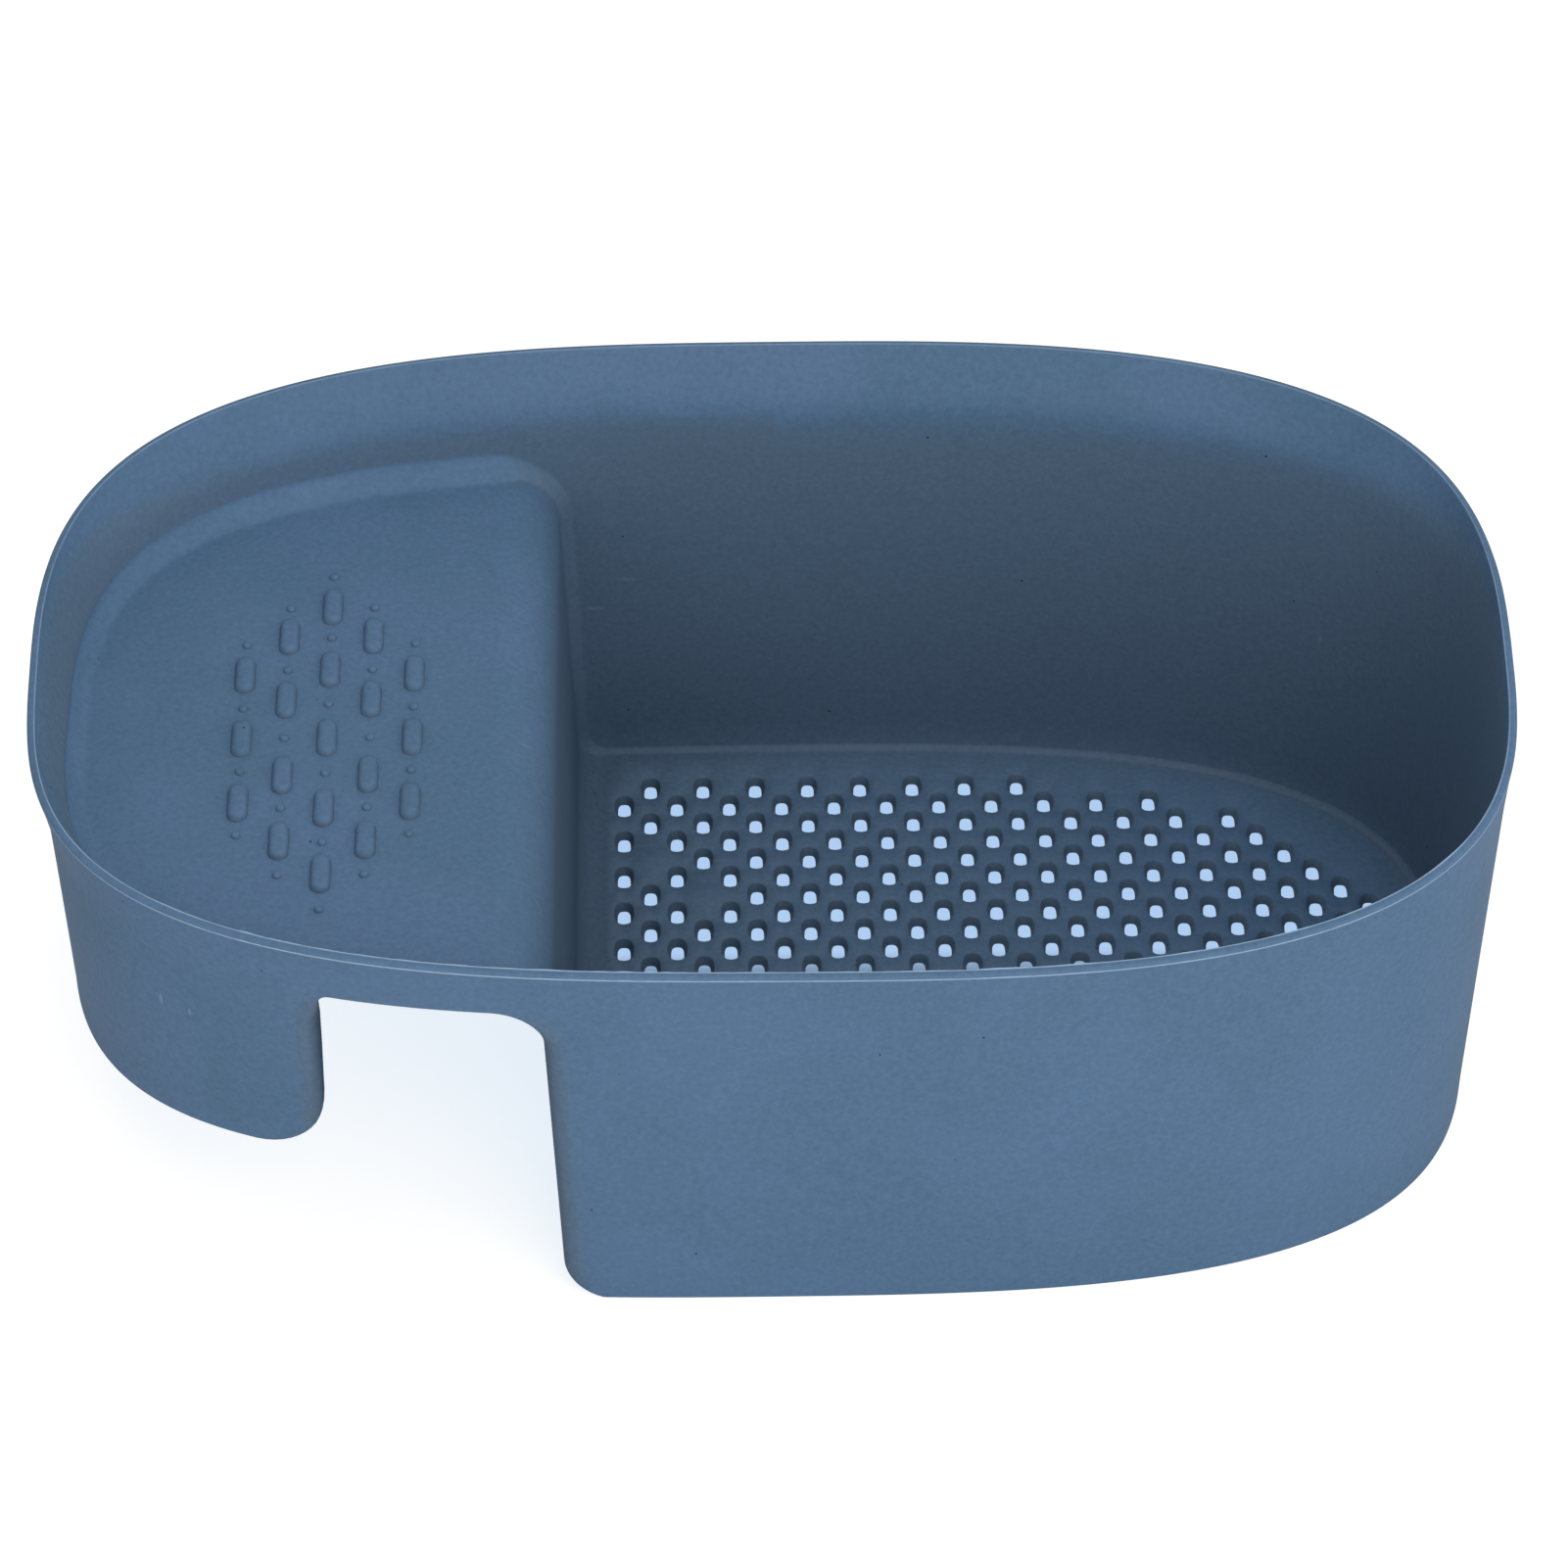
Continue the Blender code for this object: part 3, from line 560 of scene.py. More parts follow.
def inner_painted_shade(z, turn, rim, starts, first):
    """Painted shade on the inner rows: it grows over the roll, below the band's fold, and at the divider's
    foot.

    Round both ends, where the band hardly leans, the tone reaches the rim.
    """
    s = shape()
    tone = np.clip((s.tray_top - z) / s.roll_radius, 0, 1)
    rib = np.arange(len(z))[:, None]
    nx, ny = plan_outline(turn)[2:]
    # The painted shade starts a little lower at the bowl's end than at the tray's, and more softly
    fold = s.band * np.where(nx > 0, 1.15, 1.0) * ny ** 2
    soft = s.band * np.where(nx > 0, 0.6, 0.45)
    below = np.clip((rim - fold - z) / soft, 0, 1)
    tone[:, starts[2]:] = np.maximum(tone, below)[:, starts[2]:]
    rolled = np.interp(rib, [first["roll"], first["roll"] + 5], [0, 1])
    tone[:, starts[1]:starts[2]] = np.maximum(tone, rolled)[:, starts[1]:starts[2]]
    beside = np.interp(rib, [first["roll"], first["bowl"], first["bowl"] + 25], [1, 1, 0])
    return tone + 0.5 * np.clip((0.030 - z) / 0.028, 0, 1) * beside


def edge_painted_shade(points):
    """Painted shade on the outside: it darkens beside either side of the channel, most on the tray's side."""
    s = shape()
    x, z = points[..., 0], points[..., 2]
    right = s.saddle_left + s.saddle_width + s.divider_draft * (s.tray_top - s.roll_radius - z)
    near = np.clip(1 - np.maximum(s.saddle_left - x, x - right) / CHANNEL_SHADE_WIDTH, 0, 1)
    below = np.clip((s.tray_top - z) / CHANNEL_SHADE_FADE, 0, 1)
    return near * below * np.where(x < right - s.saddle_width / 2, 2.0, 1.4)


def fade_in(limit, y):
    """0 at a limit in y and 1 from the fade's length inside it, as a smooth step."""
    share = np.clip((np.abs(limit) - np.abs(y)) / FADE, 0, 1)
    return share * share * (3 - 2 * share)


def stand_back(rows, limit, point, first):
    """Moves the channel wall back behind the skirt's turned edge and down to the skirt's own lower line."""
    s = shape()
    centre = skirt_corner_centre()
    low, high = first["return"] - 1, first["seat"]
    x, z = point[low:high, 0], point[low:high, 1]
    reach = np.clip(x - s.setback - centre[0], 0, s.skirt_corner)
    target = centre[1] - np.sqrt(s.skirt_corner ** 2 - reach ** 2)
    top = s.tray_top - s.wall - s.notch_round
    climbed = np.clip((z - centre[1]) / (top - centre[1]), 0, 1)
    drop = np.where(z > top, 0, z - target - climbed * (z - target))
    moved = rows.copy()
    fade = fade_in(limit, rows[low:high, :, 1])
    moved[low:high, :, 0] -= s.setback * fade
    moved[low:high, :, 2] -= drop[:, None] * fade
    return moved


def climb(low, low_turn, turn, rim, top, inset):
    """Rows up the wall, leaning over to the rim's own angle and then straight up through the band."""
    knee = np.maximum(rim - KNEE_DEPTH * shape().band, low + KNEE_SHARE * (top - low))
    share = np.linspace(0, 1, LOW_STEPS + 1)[None, 1:]
    lower_turn = low_turn * (1 - share) + turn * share
    lower = low * (1 - share) + knee * share
    share = np.linspace(0, 1, HIGH_STEPS + 1)[None, 1:-1]
    upper = knee * (1 - share) + top * share
    z = np.concatenate([lower, upper], 1)
    turns = np.concatenate([lower_turn, np.repeat(turn, upper.shape[1], 1)], 1)
    if inset is None:
        inset = lining(turns, z)
    return np.stack([*wall_point(turns, z, inset), z], 2)


# Mesh helpers

def grid_faces(index):
    """Quads of a grid of point numbers."""
    return np.stack([index[:-1, :-1], index[1:, :-1], index[1:, 1:], index[:-1, 1:]], 2).reshape(-1, 4)


def tube_faces(stacks, start):
    """Quads of many alike stacks of closed rings, whose points are numbered on from a start."""
    index = start + np.arange(stacks.size // 3).reshape(stacks.shape[:3])
    index = np.concatenate([index, index[:, :, :1]], 2)
    corners = (index[:, :-1, :-1], index[:, :-1, 1:], index[:, 1:, 1:], index[:, 1:, :-1])
    return np.stack(corners, 3).reshape(-1, 4)


def weld(points, quads, tris, weights):
    """Joins points that coincide and turns collapsed quads into triangles."""
    keys = np.rint(points / WELD_STEP).astype(np.int64)
    _, keep, back = np.unique(keys, axis=0, return_index=True, return_inverse=True)
    back = back.ravel()
    four, three = back[quads], [back[tris]]
    same = four == np.roll(four, -1, 1)
    plain = ~same.any(1) & (four[:, 0] != four[:, 2]) & (four[:, 1] != four[:, 3])
    for corner in range(4):
        once = same[:, corner] & (same.sum(1) == 1)
        kept = [(corner + step) % 4 for step in (1, 2, 3)]
        three.append(four[once][:, kept])
    three = np.concatenate(three)
    whole = (three != np.roll(three, -1, 1)).all(1)
    return points[keep], four[plain], three[whole], weights[keep]


def new_piece(name, points, quads, tris, weights):
    """Writes lists of arrays into a mesh, shades it smooth, and gives it its body and material."""
    points, quads, weights = (np.concatenate(values) for values in (points, quads, weights))
    tris = np.concatenate([np.zeros((0, 3), int), *tris])
    points, quads, tris, weights = weld(points + body_shift(), quads, tris, weights)
    used, fresh = np.unique(np.concatenate([quads.ravel(), tris.ravel()]), return_inverse=True)
    corners = fresh.astype(np.int32)
    sizes = np.concatenate([np.full(len(quads), 4), np.full(len(tris), 3)]).astype(np.int32)
    mesh = bpy.data.meshes.new(name)
    mesh.vertices.add(len(used))
    mesh.vertices.foreach_set("co", points[used].astype(np.float32).ravel())
    mesh.loops.add(len(corners))
    mesh.loops.foreach_set("vertex_index", corners)
    mesh.polygons.add(len(sizes))
    mesh.polygons.foreach_set("loop_start", np.concatenate([[0], np.cumsum(sizes)[:-1]]).astype(np.int32))
    mesh.polygons.foreach_set("loop_total", sizes)
    mesh.update(calc_edges=True)
    if mesh.validate():
        raise RuntimeError(name + " has faces that Blender had to mend")
    for column, label in enumerate(("flash", "tone")):
        values = weights[used, column].astype(np.float32)
        mesh.attributes.new(label, "FLOAT", "POINT").data.foreach_set("value", values)
    mesh.shade_smooth()
    mesh.materials.append(bpy.data.materials.get("moulded_polypropylene") or moulded_polypropylene())
    piece = bpy.data.objects.new(name, mesh)
    bpy.context.scene.collection.objects.link(piece)
    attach(piece, "root")
    return piece


# Materials

def add(tree, kind, inputs=None, **settings):
    """Adds a shader node, sets its properties, and gives each input a value or another node's socket."""
    node = tree.nodes.new("ShaderNode" + kind)
    for name, value in settings.items():
        setattr(node, name, value)
    for key, value in (inputs or {}).items():
        if isinstance(value, bpy.types.NodeSocket):
            tree.links.new(value, node.inputs[key])
        else:
            node.inputs[key].default_value = value
    return node


def blend(tree, share, first, second):
    """Mixes two colours by a share."""
    return add(tree, "Mix", {0: share, 6: first, 7: second}, data_type="RGBA").outputs[2]


def moulded_polypropylene():
    """Injection-moulded polypropylene, pigmented right through and fresh from a spark-eroded mould.

    It shows an even slate blue with faint cloudy flow, painted shade that turns it greyer and darker inside
    the bowl, beside the channel, round the bumps' feet and in the slots, a fine grain that breaks up the
    highlight, a soft waxy sheen, the odd dark speck, and whitened parting lines, which along the rim also
    stand for a painted highlight.
    """
    look = bpy.context.scene.basket_look
    material = bpy.data.materials.new("moulded_polypropylene")
    material.use_nodes = True
    tree = material.node_tree
    shader = tree.nodes["Principled BSDF"]
    place = add(tree, "TexCoord").outputs["Object"]

    def noise(scale, detail=1.0, roughness=0.5):
        return add(tree, "TexNoise", {"Vector": place, "Scale": scale, "Detail": detail,
                                      "Roughness": roughness}).outputs["Fac"]

    def remap(value, low, high, to_low=0.0, to_high=1.0):
        return add(tree, "MapRange", {"Value": value, "From Min": low, "From Max": high,
                                      "To Min": to_low, "To Max": to_high}).outputs["Result"]

    def vector_node(operation, inputs):
        return add(tree, "VectorMath", inputs, operation=operation).outputs["Vector"]

    # Flow clouds about 30 mm across, with the pigment a little greener in places
    clouds = noise(34.0, 2.0, 0.45)
    painted_shade_share = add(tree, "Attribute", attribute_name="tone").outputs["Fac"]
    tone = blend(tree, remap(clouds, 0.40, 0.62), (*look.plastic, 1), (*look.plastic_shade, 1))
    # Painted shade: the tone attribute pulls the colour towards the greyer interior shade, and past 1 towards
    # the slots' darker shade
    tone = blend(tree, remap(painted_shade_share, 0.0, 1.0), tone, (*look.core, 1))
    tone = blend(tree, remap(painted_shade_share, 1.0, 2.0), tone, (*look.slot_shade, 1))
    # Mottle about 1 mm across, coarser than the real grain so that it shows
    dapple = remap(noise(900.0, 3.0, 0.6), 0.3, 0.7, 0.90, 1.10)
    tone = vector_node("SCALE", {"Vector": tone, "Scale": dapple})
    # Dark specks of up to 0.5 mm, where the middle of one of the 6 mm cells happens to lie in the surface
    cells = add(tree, "TexVoronoi", {"Vector": place, "Scale": 160.0})
    chance = add(tree, "SeparateColor", {"Color": cells.outputs["Color"]}).outputs["Red"]
    rare = add(tree, "Math", {0: chance, 1: 0.62}, operation="GREATER_THAN").outputs[0]
    near = remap(cells.outputs["Distance"], 0.026, 0.044, 1.0, 0.0)
    mark = add(tree, "Math", {0: near, 1: rare}, operation="MULTIPLY").outputs[0]
    tone = blend(tree, mark, tone, (*look.speck, 1))
    # Fine scuffs, about 8 mm long and 0.3 mm wide, where plastic has been rubbed paler
    streak = vector_node("MULTIPLY", {0: place, 1: (60, 1500, 300)})
    rubbed = add(tree, "TexNoise", {"Vector": streak, "Scale": 1.0, "Detail": 0.0}).outputs["Fac"]
    tone = blend(tree, remap(rubbed, 0.85, 0.92, 0.0, 0.16), tone, (*look.bloom_and_highlight, 1))
    # Whitened parting flash, which along the rim also stands for a painted highlight
    flash_and_highlight = add(tree, "Attribute", attribute_name="flash").outputs["Fac"]
    tone = blend(tree, flash_and_highlight, tone, (*look.bloom_and_highlight, 1))
    tree.links.new(tone, shader.inputs["Base Color"])
    # Roughness wanders a little, as the mould's finish does
    tree.links.new(remap(clouds, 0.0, 1.0, 0.50, 0.64), shader.inputs["Roughness"])
    # Spark-eroded grain of 0.35 mm and slow waviness of 6 mm
    fine = add(tree, "Bump", {"Strength": 0.22, "Distance": 0.00006, "Height": noise(2800.0)})
    slow = add(tree, "Bump", {"Strength": 0.35, "Distance": 0.00012, "Height": noise(160.0),
                              "Normal": fine.outputs["Normal"]})
    tree.links.new(slow.outputs["Normal"], shader.inputs["Normal"])
    shader.inputs["IOR"].default_value = 1.49
    shader.inputs["Specular IOR Level"].default_value = 0.28
    return material


# Operators

class BASKET_OT_shell(bpy.types.Operator):
    """Builds the moulding: tray, divider, walls, rim, saddle and skirt as one skin of ribs"""
    bl_idname = "basket.shell"
    bl_label = "Build the moulding"

    def execute(self, context):
        halves, starts, first = half_ribs()
        pieces, weights, quads, total = [], [], [], 0
        foot = first["bowl"] - 1
        low_ring = starts[6] - 1
        roof_middle = hollow_middle(halves, low_ring, first)
        for side, (points, marks) in halves.items():
            index = total + np.arange(points.size // 3).reshape(points.shape[:2])
            keep = np.ones((points.shape[0] - 1, points.shape[1] - 1), bool)
            # The strainer floor's windows, above and below, and the open underside of the skirt
            keep[foot:, :starts[1]] = False
            keep[foot:, low_ring:] = False
            keep[:first["return"] - 1, low_ring:] = False
            faces = [grid_faces(index).reshape(*keep.shape, 4)[keep]]
            window = [window_ring(index, row, first, row == starts[1]) for row in (starts[1], low_ring)]
            faces.append(grid_faces(np.stack(window)))
            rows, hollow = hollow_rows(points, low_ring, first, side, roof_middle)
            faces.append(hollow + total + index.size)
            quads += [block[:, ::side] for block in faces]
            pieces += [points.reshape(-1, 3), rows]
            weights += [marks.reshape(-1, 2), np.zeros((len(rows), 2))]
            total += index.size + len(rows)
        piece = new_piece("basket_moulding", pieces, quads, [], weights)
        piece.data.set_sharp_from_angle(angle=SHARP_ANGLE)
        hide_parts(*SHELL_NODES)
        return {"FINISHED"}


def window_ring(values, row, first, upper):
    """The strainer floor's edge on one half: out along the divider's foot, then to the bowl's tip."""
    foot = first["bowl"] - 1
    if upper:
        return np.concatenate([values[foot, :row], values[foot:, row]])
    return np.concatenate([values[foot, row:][::-1], values[foot + 1:, row]])


def hollow_rise(points, low_ring, first, side):
    """Inner face of the skirt, from its lower edge up to the tray's underside."""
    s = shape()
    edge = points[:first["return"], low_ring]
    # The first two rows break the edge by 0.12 mm
    shares = np.concatenate([[0.002, 0.008], np.linspace(0, 1, 9)[1:]])
    z = edge[:, 2:] * (1 - shares) + (s.tray_top - s.wall) * shares
    inset = np.full(z.shape, s.wall)
    inset[:, 0] -= 0.00012
    turn = np.repeat(side * rib_layout()[0][:len(edge), None], len(shares), 1)
    bent = np.arange(len(edge)) >= first["corner"]
    turn[bent] = turn_at_x(edge[bent, :1], z[bent], inset[bent], side)
    return np.stack([*wall_point(turn, z, inset), z], 2)


def hollow_middle(halves, low_ring, first):
    """Where the rows under the tray meet on the middle line: halfway between the back's and the front's."""
    ends = [hollow_rise(points, low_ring, first, side)[:, -1, 0] for side, (points, _) in halves.items()]
    return fan((ends[0] + ends[1]) / 2)


def hollow_rows(points, low_ring, first, side, middle):
    """The hollow inside the skirt: its inner face, the tray's underside and the return wall's back.

    Its lower edge is the skirt's own edge ring, so the two skins meet point for point.
    """
    count = first["return"]
    edge = points[:count, low_ring]
    s = shape()
    rise = hollow_rise(points, low_ring, first, side)
    roof = across(rise[:, -1], middle, SHEET_SHARES[::-1])
    back_x = s.saddle_left - s.wall
    share = np.clip((roof[:, :, 0] - ROOF_START) / (back_x - ROOF_START), 0, 1)
    limit = np.minimum(np.abs(points[first["side"], low_ring, 1]), np.abs(rise[:, -1:, 1]))
    roof[:, :, 0] -= s.setback * share * fade_in(limit, roof[:, :, 1])
    skin = np.concatenate([edge[:, None], rise, roof], 1)
    index = np.arange(skin.size // 3).reshape(skin.shape[:2])
    # Back of the return wall, between the lower edge's last rib and the roof's last rib
    low = points[count - 1, low_ring:]
    high = np.concatenate([rise[-1, -1:], roof[-1]])
    shares = ((rise[-1, :, 2] - edge[-1, 2]) / (rise[-1, -1, 2] - edge[-1, 2]))[:, None, None]
    back = np.concatenate([low[None], low * (1 - shares) + high * shares])
    back[1:, 0] = rise[-1]
    numbers = skin.size // 3 + np.arange(back.size // 3).reshape(back.shape[:2])
    faces = [grid_faces(index), grid_faces(numbers)[:, ::-1]]
    return np.concatenate([skin.reshape(-1, 3), back.reshape(-1, 3)]), np.concatenate(faces)


def slot_centres():
    """Every second point of a grid that lies within the floor's own outline, less its margins."""
    s, r = shape(), bpy.context.scene.basket_relief
    toe = s.wall + s.floor_fillet + r.border_land
    half_length = s.half_length - s.end_height * s.end_draft - toe - r.slot_end_margin
    half_depth = s.half_depth - s.end_height * s.back_draft - toe - r.slot_side_margin
    roll_z = s.tray_top - s.roll_radius
    left = s.saddle_left + s.saddle_width + s.divider_draft * (roll_z - s.foot_radius) + s.foot_radius
    rows = math.ceil((half_depth + r.slot_row_offset) / r.row_step)
    columns = math.ceil((half_length - left) / r.column_step)
    column, row = np.meshgrid(np.arange(columns), np.arange(-rows, rows + 1), indexing="ij")
    x = left + r.slot_first + column * r.column_step
    y = r.slot_row_offset + row * r.row_step
    inside = np.abs(x / half_length) ** s.squareness + np.abs(y / half_depth) ** s.squareness <= 1
    closed = np.isin(column * 1000 + row, [c * 1000 + k for c, k in SLOTS_NOT_OPEN])
    open_here = inside & ((row + column) % 2 == 0) & ~closed
    return np.stack([x[open_here], y[open_here]], 1)


class BASKET_OT_strainer(bpy.types.Operator):
    """Builds the strainer floor: two flat faces joined by tapered slots"""
    bl_idname = "basket.strainer"
    bl_label = "Build the strainer floor"

    def execute(self, context):
        s, r = shape(), context.scene.basket_relief
        halves, starts, first = half_ribs()
        border = []
        for row, upper in ((starts[1], True), (starts[6] - 1, False)):
            back, front = (window_ring(halves[side][0], row, first, upper) for side in (1, -1))
            border.append(np.concatenate([back, front[-2:0:-1]]))
        centres = slot_centres()
        angle = np.linspace(0, 2 * math.pi, SLOT_POINTS + 1)[:-1]
        cos, sin = np.cos(angle), np.sin(angle)

        def outline(width, height, power):
            """Rounded oblong: cosine and sine, each raised to a power below one."""
            bend = 2 / power
            return np.stack([width / 2 * np.sign(cos) * np.abs(cos) ** bend,
                             height / 2 * np.sign(sin) * np.abs(sin) ** bend], 1)

        # How far each ring is wider than the slot, its power and its height
        inward = -2 * r.slot_taper
        stack = [(outline(r.slot_width + extra, r.slot_length + extra, power), z) for extra, power, z in (
            (2 * SLOT_EDGE, SLOT_TOP_POWER, s.floor), (0, SLOT_TOP_POWER, s.floor - SLOT_EDGE),
            (inward, SLOT_FOOT_POWER, SLOT_FOOT_EDGE), (inward + SLOT_EDGE, SLOT_FOOT_POWER, 0.0))]
        tubes = np.stack([np.concatenate([ring, np.full((len(ring), 1), z)], 1) for ring, z in stack])
        tubes = tubes[None] + np.concatenate([centres, np.zeros((len(centres), 1))], 1)[:, None, None]
        quads = tube_faces(tubes, 0)
        points = [tubes.reshape(-1, 3)]
        total = tubes.size // 3
        tris = []
        for rim, ring, upward in ((border[0], 0, True), (border[1], 3, False)):
            outlines = tubes[:, ring].reshape(-1, 3)
            rings = len(rim) + np.arange(len(outlines)).reshape(-1, SLOT_POINTS)
            loops = [np.arange(len(rim)), *rings]
            flat = np.concatenate([rim, outlines])
            edges = np.concatenate([np.stack([loop, np.roll(loop, -1)], 1) for loop in loops])
            spots = [Vector(spot) for spot in flat[:, :2].tolist()]
            found = delaunay_2d_cdt(spots, edges.tolist(), [], 0, 1e-9, True)
            source = np.array([origins[0] for origins in found[3]])
            faces = source[np.array([list(face) for face in found[2]])]
            # Triangles inside a slot and flat slivers are left out
            middle = flat[faces].mean(1)[:, :2]
            nearest = np.abs(middle[:, None] - centres[None])
            half = np.ptp(outlines[:SLOT_POINTS, :2], 0) / 2
            power = SLOT_TOP_POWER if upward else SLOT_FOOT_POWER
            in_slot = (((nearest / half) ** power).sum(2) < 0.999).any(1)
            faces = faces[~in_slot]
            span = flat[faces]
            turn = np.cross(span[:, 1, :2] - span[:, 0, :2], span[:, 2, :2] - span[:, 0, :2])
            wrong = (turn < 0) == upward
            faces[wrong] = faces[wrong][:, ::-1]
            faces = faces[np.abs(turn) > 1e-14]
            points.append(flat)
            tris.append(faces + total)
            total += len(flat)
        edge_index = total + np.arange(2 * len(border[0])).reshape(2, -1)
        edge_index = np.concatenate([edge_index, edge_index[:, :1]], 1)
        points += border
        sides = grid_faces(edge_index)[:, ::-1]
        weights = np.zeros((sum(len(part) for part in points), 2))
        # Painted shade: the floor is darker beside the divider, and its slots' sides are darker still, with a
        # painted highlight round each slot's upper edge
        x = np.concatenate(points)[:, 0]
        weights[:, 1] = np.interp(x, (-0.03, 0.01, 0.05, 0.10), (1.5, 1.05, 0.9, 0.5))
        slot_shade_and_highlight = np.tile(np.repeat((-0.5, 0.4, 1.0, 1.0), SLOT_POINTS), len(centres))
        weights[:tubes.size // 3, 1] = np.clip(weights[:tubes.size // 3, 1] + slot_shade_and_highlight, 0, 2)
        piece = new_piece("strainer_slots", points, [quads, sides], tris, [weights])
        piece.data.set_sharp_from_angle(angle=SHARP_ANGLE)
        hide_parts("strainer_floor")
        return {"FINISHED"}


class BASKET_OT_grip(bpy.types.Operator):
    """Builds the tray's raised bars and dots as domes stretched along straight lines"""
    bl_idname = "basket.grip"
    bl_label = "Build the grip bars"

    def execute(self, context):
        s, r = shape(), context.scene.basket_relief
        middle = s.saddle_left + s.saddle_width + s.wall - s.roll_radius - r.bar_setback
        bars, dots = [], []
        for column in (-2, -1, 0, 1, 2):
            x = middle + column * r.bar_column_step
            bars += [(x, r.bar_middle + y) for y in BAR_ROWS[abs(column)]]
            dots += [(x, r.bar_middle + y) for y in DOT_ROWS[abs(column)]]
        # Share of the half width and of the height at each ring of a bump, from its sunk foot to its crown
        section = np.array(((1.08, -0.09), (1.04, 0.02), (0.99, 0.14), (0.93, 0.42), (0.83, 0.72),
                            (0.66, 0.91), (0.38, 0.99), (0.0, 1.0)))
        # Painted shade of the foot's middle and of each ring, darkest round the foot
        painted_shade = np.array((1.6, 1.6, 1.6, 1.5, 0.9, 0.3, 0, 0, 0))
        pieces, quads, weights, total = [], [], [], 0
        for centres, width, long_side, height, sides in (
                (bars, r.bar_width, r.bar_length, r.bar_height, 24),
                (dots, r.dot_width, r.dot_width, r.dot_height, 12)):
            angle = np.linspace(0, 2 * math.pi, sides + 1)[:-1] + math.pi / sides
            slide = (long_side - width) / 2 * np.sign(np.sin(angle))
            ring_x = section[:, :1] * width / 2 * np.cos(angle)[None]
            ring_y = section[:, :1] * width / 2 * np.sin(angle)[None] + slide[None]
            ring_z = np.repeat(s.tray_top + section[:, 1:] * height, sides, 1)
            bump = np.stack([ring_x, ring_y, ring_z], 2)
            foot = np.repeat(bump[:1].mean(1, keepdims=True), sides, 1)
            foot[:, :, 1] = slide[None]
            bump = np.concatenate([foot, bump])
            place = np.concatenate([np.array(centres), np.zeros((len(centres), 1))], 1)
            every = bump[None] + place[:, None, None]
            quads.append(tube_faces(every, total))
            pieces.append(every.reshape(-1, 3))
            marks = np.zeros((*every.shape[:3], 2))
            marks[..., 1] = painted_shade[:, None]
            weights.append(marks.reshape(-1, 2))
            total += every.size // 3
        new_piece("grip_relief", pieces, quads, [], weights)
        return {"FINISHED"}


def soft_box(name, place, size, power):
    """A rectangular white softbox aimed at the basket."""
    light = bpy.data.lights.new(name, "AREA")
    light.shape = "RECTANGLE"
    light.size, light.size_y = size
    light.energy = power
    lamp = bpy.data.objects.new(name, light)
    lamp.location = place
    lamp.rotation_euler = (Vector((0, 0, 0.05)) - Vector(place)).to_track_quat("-Z", "Y").to_euler()
    bpy.context.scene.collection.objects.link(lamp)


# Where the bowl's floor starts past the channel, and between which depths the ground under it grows dim
BOWL_START = 0.010
DIM_END = 0.009
DIM_START = 0.016
FULL_LIGHT = 2.4


def matt_paper_floor(look):
    """Matt white paper, which sends an even soft light back up.

    The camera sees it overexposed to white, with a faint cool shadow, and cool and shaded under the bowl,
    where only the slots show it.
    """
    s = shape()
    material = bpy.data.materials.new("matt_paper_floor")
    material.use_nodes = True
    tree = material.node_tree
    tree.nodes.clear()

    def math_node(operation, first, second):
        return add(tree, "Math", {0: first, 1: second}, operation=operation).outputs[0]

    place = add(tree, "TexCoord").outputs["Object"]
    axes = add(tree, "SeparateXYZ", {"Vector": place}).outputs
    # Inside the base's own superellipse, |x/a|^n + |y/b|^n < 1, and on the bowl's side of the divider
    shift = body_shift()
    terms = []
    for axis, size in ((0, s.half_length - s.end_height * s.end_draft), (1, s.half_depth - 2 * s.wall)):
        near = math_node("ABSOLUTE", math_node("SUBTRACT", axes[axis], float(shift[axis])), 0.0)
        terms.append(math_node("POWER", math_node("DIVIDE", near, size), s.squareness))
    within = math_node("LESS_THAN", math_node("ADD", *terms), 1.0)
    bowl_side = math_node("GREATER_THAN", axes[0], s.saddle_left + s.saddle_width + BOWL_START)
    under = math_node("MULTIPLY", within, bowl_side)
    # The ground under the bowl grows dim towards the front
    depth = math_node("SUBTRACT", axes[1], float(shift[1]))
    bright = add(tree, "MapRange", {"Value": depth, "From Min": DIM_END, "From Max": DIM_START})
    ground = blend(tree, bright.outputs["Result"], (*look.floor_dim, 1), (*look.floor_under, 1))
    glow = blend(tree, under, (*look.floor_shade, 1), ground)
    # Light that falls on the paper makes up for the shade's tint and, in full, takes it past white
    white = [FULL_LIGHT * (1 - part) for part in look.floor_shade]
    lit = blend(tree, under, (*white, 1), (0.06, 0.06, 0.06, 1))
    glowing = add(tree, "Emission", {"Color": glow}).outputs[0]
    reflecting = add(tree, "BsdfDiffuse", {"Color": lit}).outputs[0]
    seen = add(tree, "AddShader", {0: glowing, 1: reflecting})
    paper = add(tree, "BsdfDiffuse", {"Color": (0.80, 0.80, 0.80, 1)})
    path = add(tree, "LightPath").outputs["Is Camera Ray"]
    mix = add(tree, "MixShader", {0: path, 1: paper.outputs[0], 2: seen.outputs[0]})
    add(tree, "OutputMaterial", {"Surface": mix.outputs[0]})
    return material


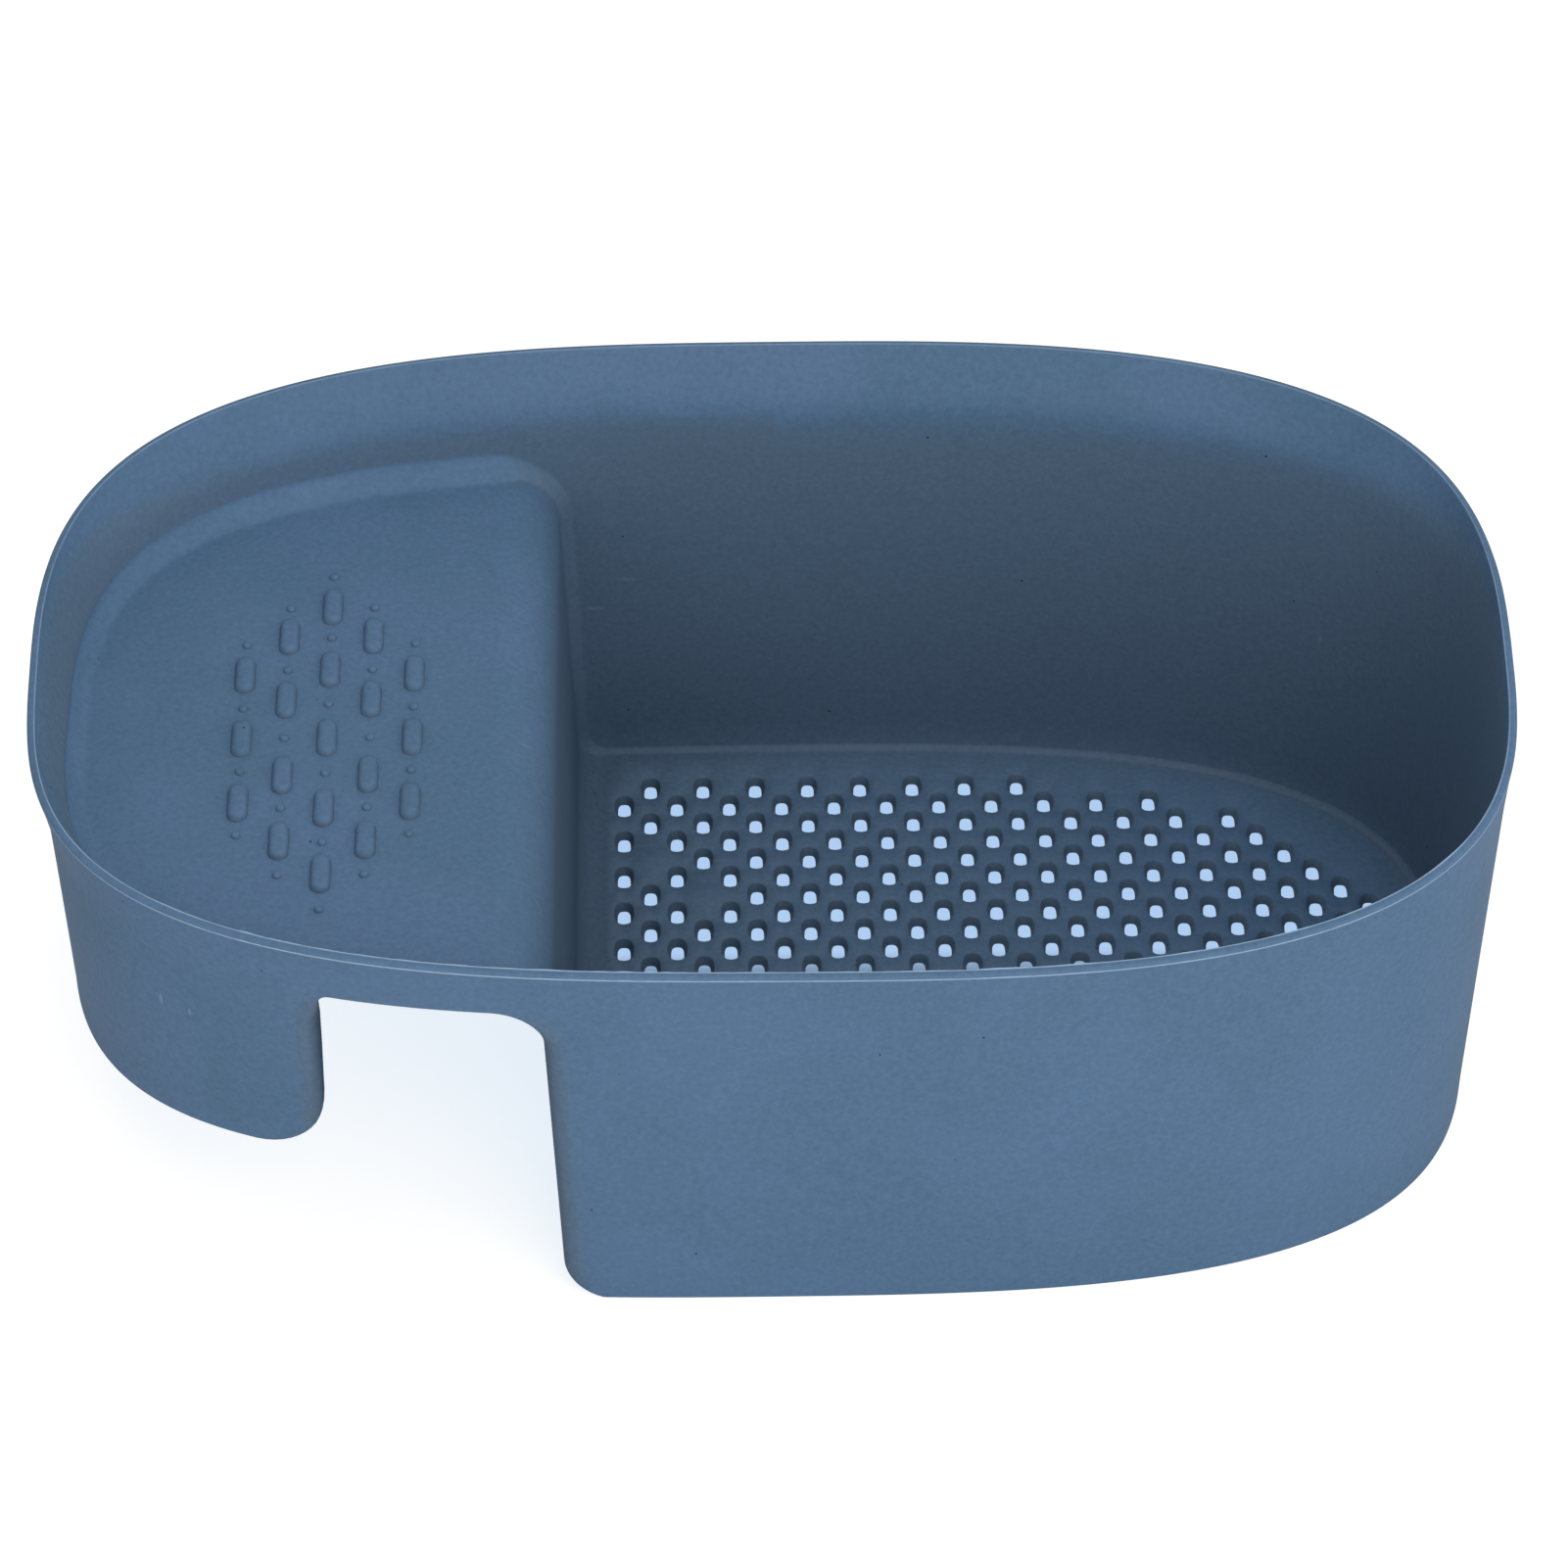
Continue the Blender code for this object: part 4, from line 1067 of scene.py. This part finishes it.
class BASKET_OT_stage(bpy.types.Operator):
    """Sets the floor, the light and the camera"""
    bl_idname = "basket.stage"
    bl_label = "Set the stage"

    def execute(self, context):
        scene = context.scene
        look = scene.basket_look
        scene.view_settings.view_transform = "Standard"
        # Floor: a wide pale sheet whose shadow turns cool
        mesh = bpy.data.meshes.new("studio_floor")
        far = 3.0
        mesh.from_pydata([(-far, -far, 0), (far, -far, 0), (far, far, 0), (-far, far, 0)], [], [(0, 1, 2, 3)])
        floor = bpy.data.objects.new("studio_floor", mesh)
        scene.collection.objects.link(floor)
        mesh.materials.append(matt_paper_floor(look))
        # World: even soft light, white where the camera looks past the floor
        world = bpy.data.worlds.new("studio_world")
        scene.world = world
        world.use_nodes = True
        tree = world.node_tree
        tree.nodes.clear()
        path = add(tree, "LightPath").outputs["Is Camera Ray"]
        even = add(tree, "Background", {"Color": (1, 1, 1, 1), "Strength": look.fill_level})
        white = add(tree, "Background", {"Color": (1, 1, 1, 1)})
        mix = add(tree, "MixShader", {0: path, 1: even.outputs[0], 2: white.outputs[0]})
        add(tree, "OutputWorld", {"Surface": mix.outputs[0]})
        for name, place, size, level in (
                ("key_softbox", (0.3, -0.8, 0.9), (0.7, 0.6), look.key_level),
                ("low_softbox", (0, -1.1, 0.3), (1.2, 0.5), look.low_level),
                ("top_softbox", (0, 0, 1.2), (0.9, 0.9), look.top_level),
                ("side_softbox", (1.0, -0.2, 0.5), (0.7, 0.7), look.side_level)):
            soft_box(name, place, size, level)
        place_camera(scene)
        return {"FINISHED"}


# Camera fitted to the photo: focal length per sensor width, angles in radians, range and offsets in metres
FOCAL_SHARE = 7321.8 / 1601
CAMERA_RISE = 0.7424
CAMERA_YAW = 0.0123
CAMERA_ROLL = 0.00346
CAMERA_RANGE = 1.32878
CAMERA_OFFSET = (-0.001266, 0.042247)
SENSOR = 36.0


def place_camera(scene):
    """A long lens at the photograph's own angle: looking down 42.5 degrees, slightly turned and rolled."""
    rise, yaw, roll = CAMERA_RISE, CAMERA_YAW, CAMERA_ROLL
    ahead = Vector((math.sin(yaw) * math.cos(rise), math.cos(yaw) * math.cos(rise), -math.sin(rise)))
    level = Vector((math.cos(yaw), -math.sin(yaw), 0))
    down = ahead.cross(level)
    right = math.cos(roll) * level + math.sin(roll) * down
    down = math.cos(roll) * down - math.sin(roll) * level
    eye = -CAMERA_OFFSET[0] * right - CAMERA_OFFSET[1] * down - CAMERA_RANGE * ahead + Vector(body_shift())
    data = bpy.data.cameras.new("photo_camera")
    data.sensor_width = SENSOR
    data.lens = FOCAL_SHARE * SENSOR
    data.clip_end = 20
    camera = bpy.data.objects.new("photo_camera", data)
    turn = Matrix((right, -down, -ahead)).transposed().to_4x4()
    camera.matrix_world = Matrix.Translation(eye) @ turn
    scene.collection.objects.link(camera)
    scene.camera = camera


class BASKET_PT_panel(bpy.types.Panel):
    """Lists the steps in the order that they're run"""
    bl_idname = "BASKET_PT_panel"
    bl_label = "Drain Basket"
    bl_space_type = "VIEW_3D"
    bl_region_type = "UI"
    bl_category = "Drain Basket"

    def draw(self, context):
        for operator in OPERATORS:
            self.layout.operator(operator.bl_idname)
        for group in (context.scene.basket_shape, context.scene.basket_relief, context.scene.basket_look):
            box = self.layout.box()
            for name in group.__annotations__:
                box.prop(group, name)


OPERATORS = (BASKET_OT_shell, BASKET_OT_strainer, BASKET_OT_grip, BASKET_OT_stage)
GROUPS = {"basket_shape": BasketShape, "basket_relief": BasketRelief, "basket_look": BasketLook}


def register():
    for item in (*GROUPS.values(), *OPERATORS, BASKET_PT_panel):
        bpy.utils.register_class(item)
    for name, group in GROUPS.items():
        setattr(bpy.types.Scene, name, bpy.props.PointerProperty(type=group))


def unregister():
    for name in GROUPS:
        delattr(bpy.types.Scene, name)
    for item in (BASKET_PT_panel, *reversed(OPERATORS), *reversed(GROUPS.values())):
        bpy.utils.unregister_class(item)


def main():
    """Builds everything."""
    register()
    bpy.ops.basket.stage()
    bpy.ops.basket.shell()
    bpy.ops.basket.strainer()
    bpy.ops.basket.grip()


if __name__ == "__main__":
    main()
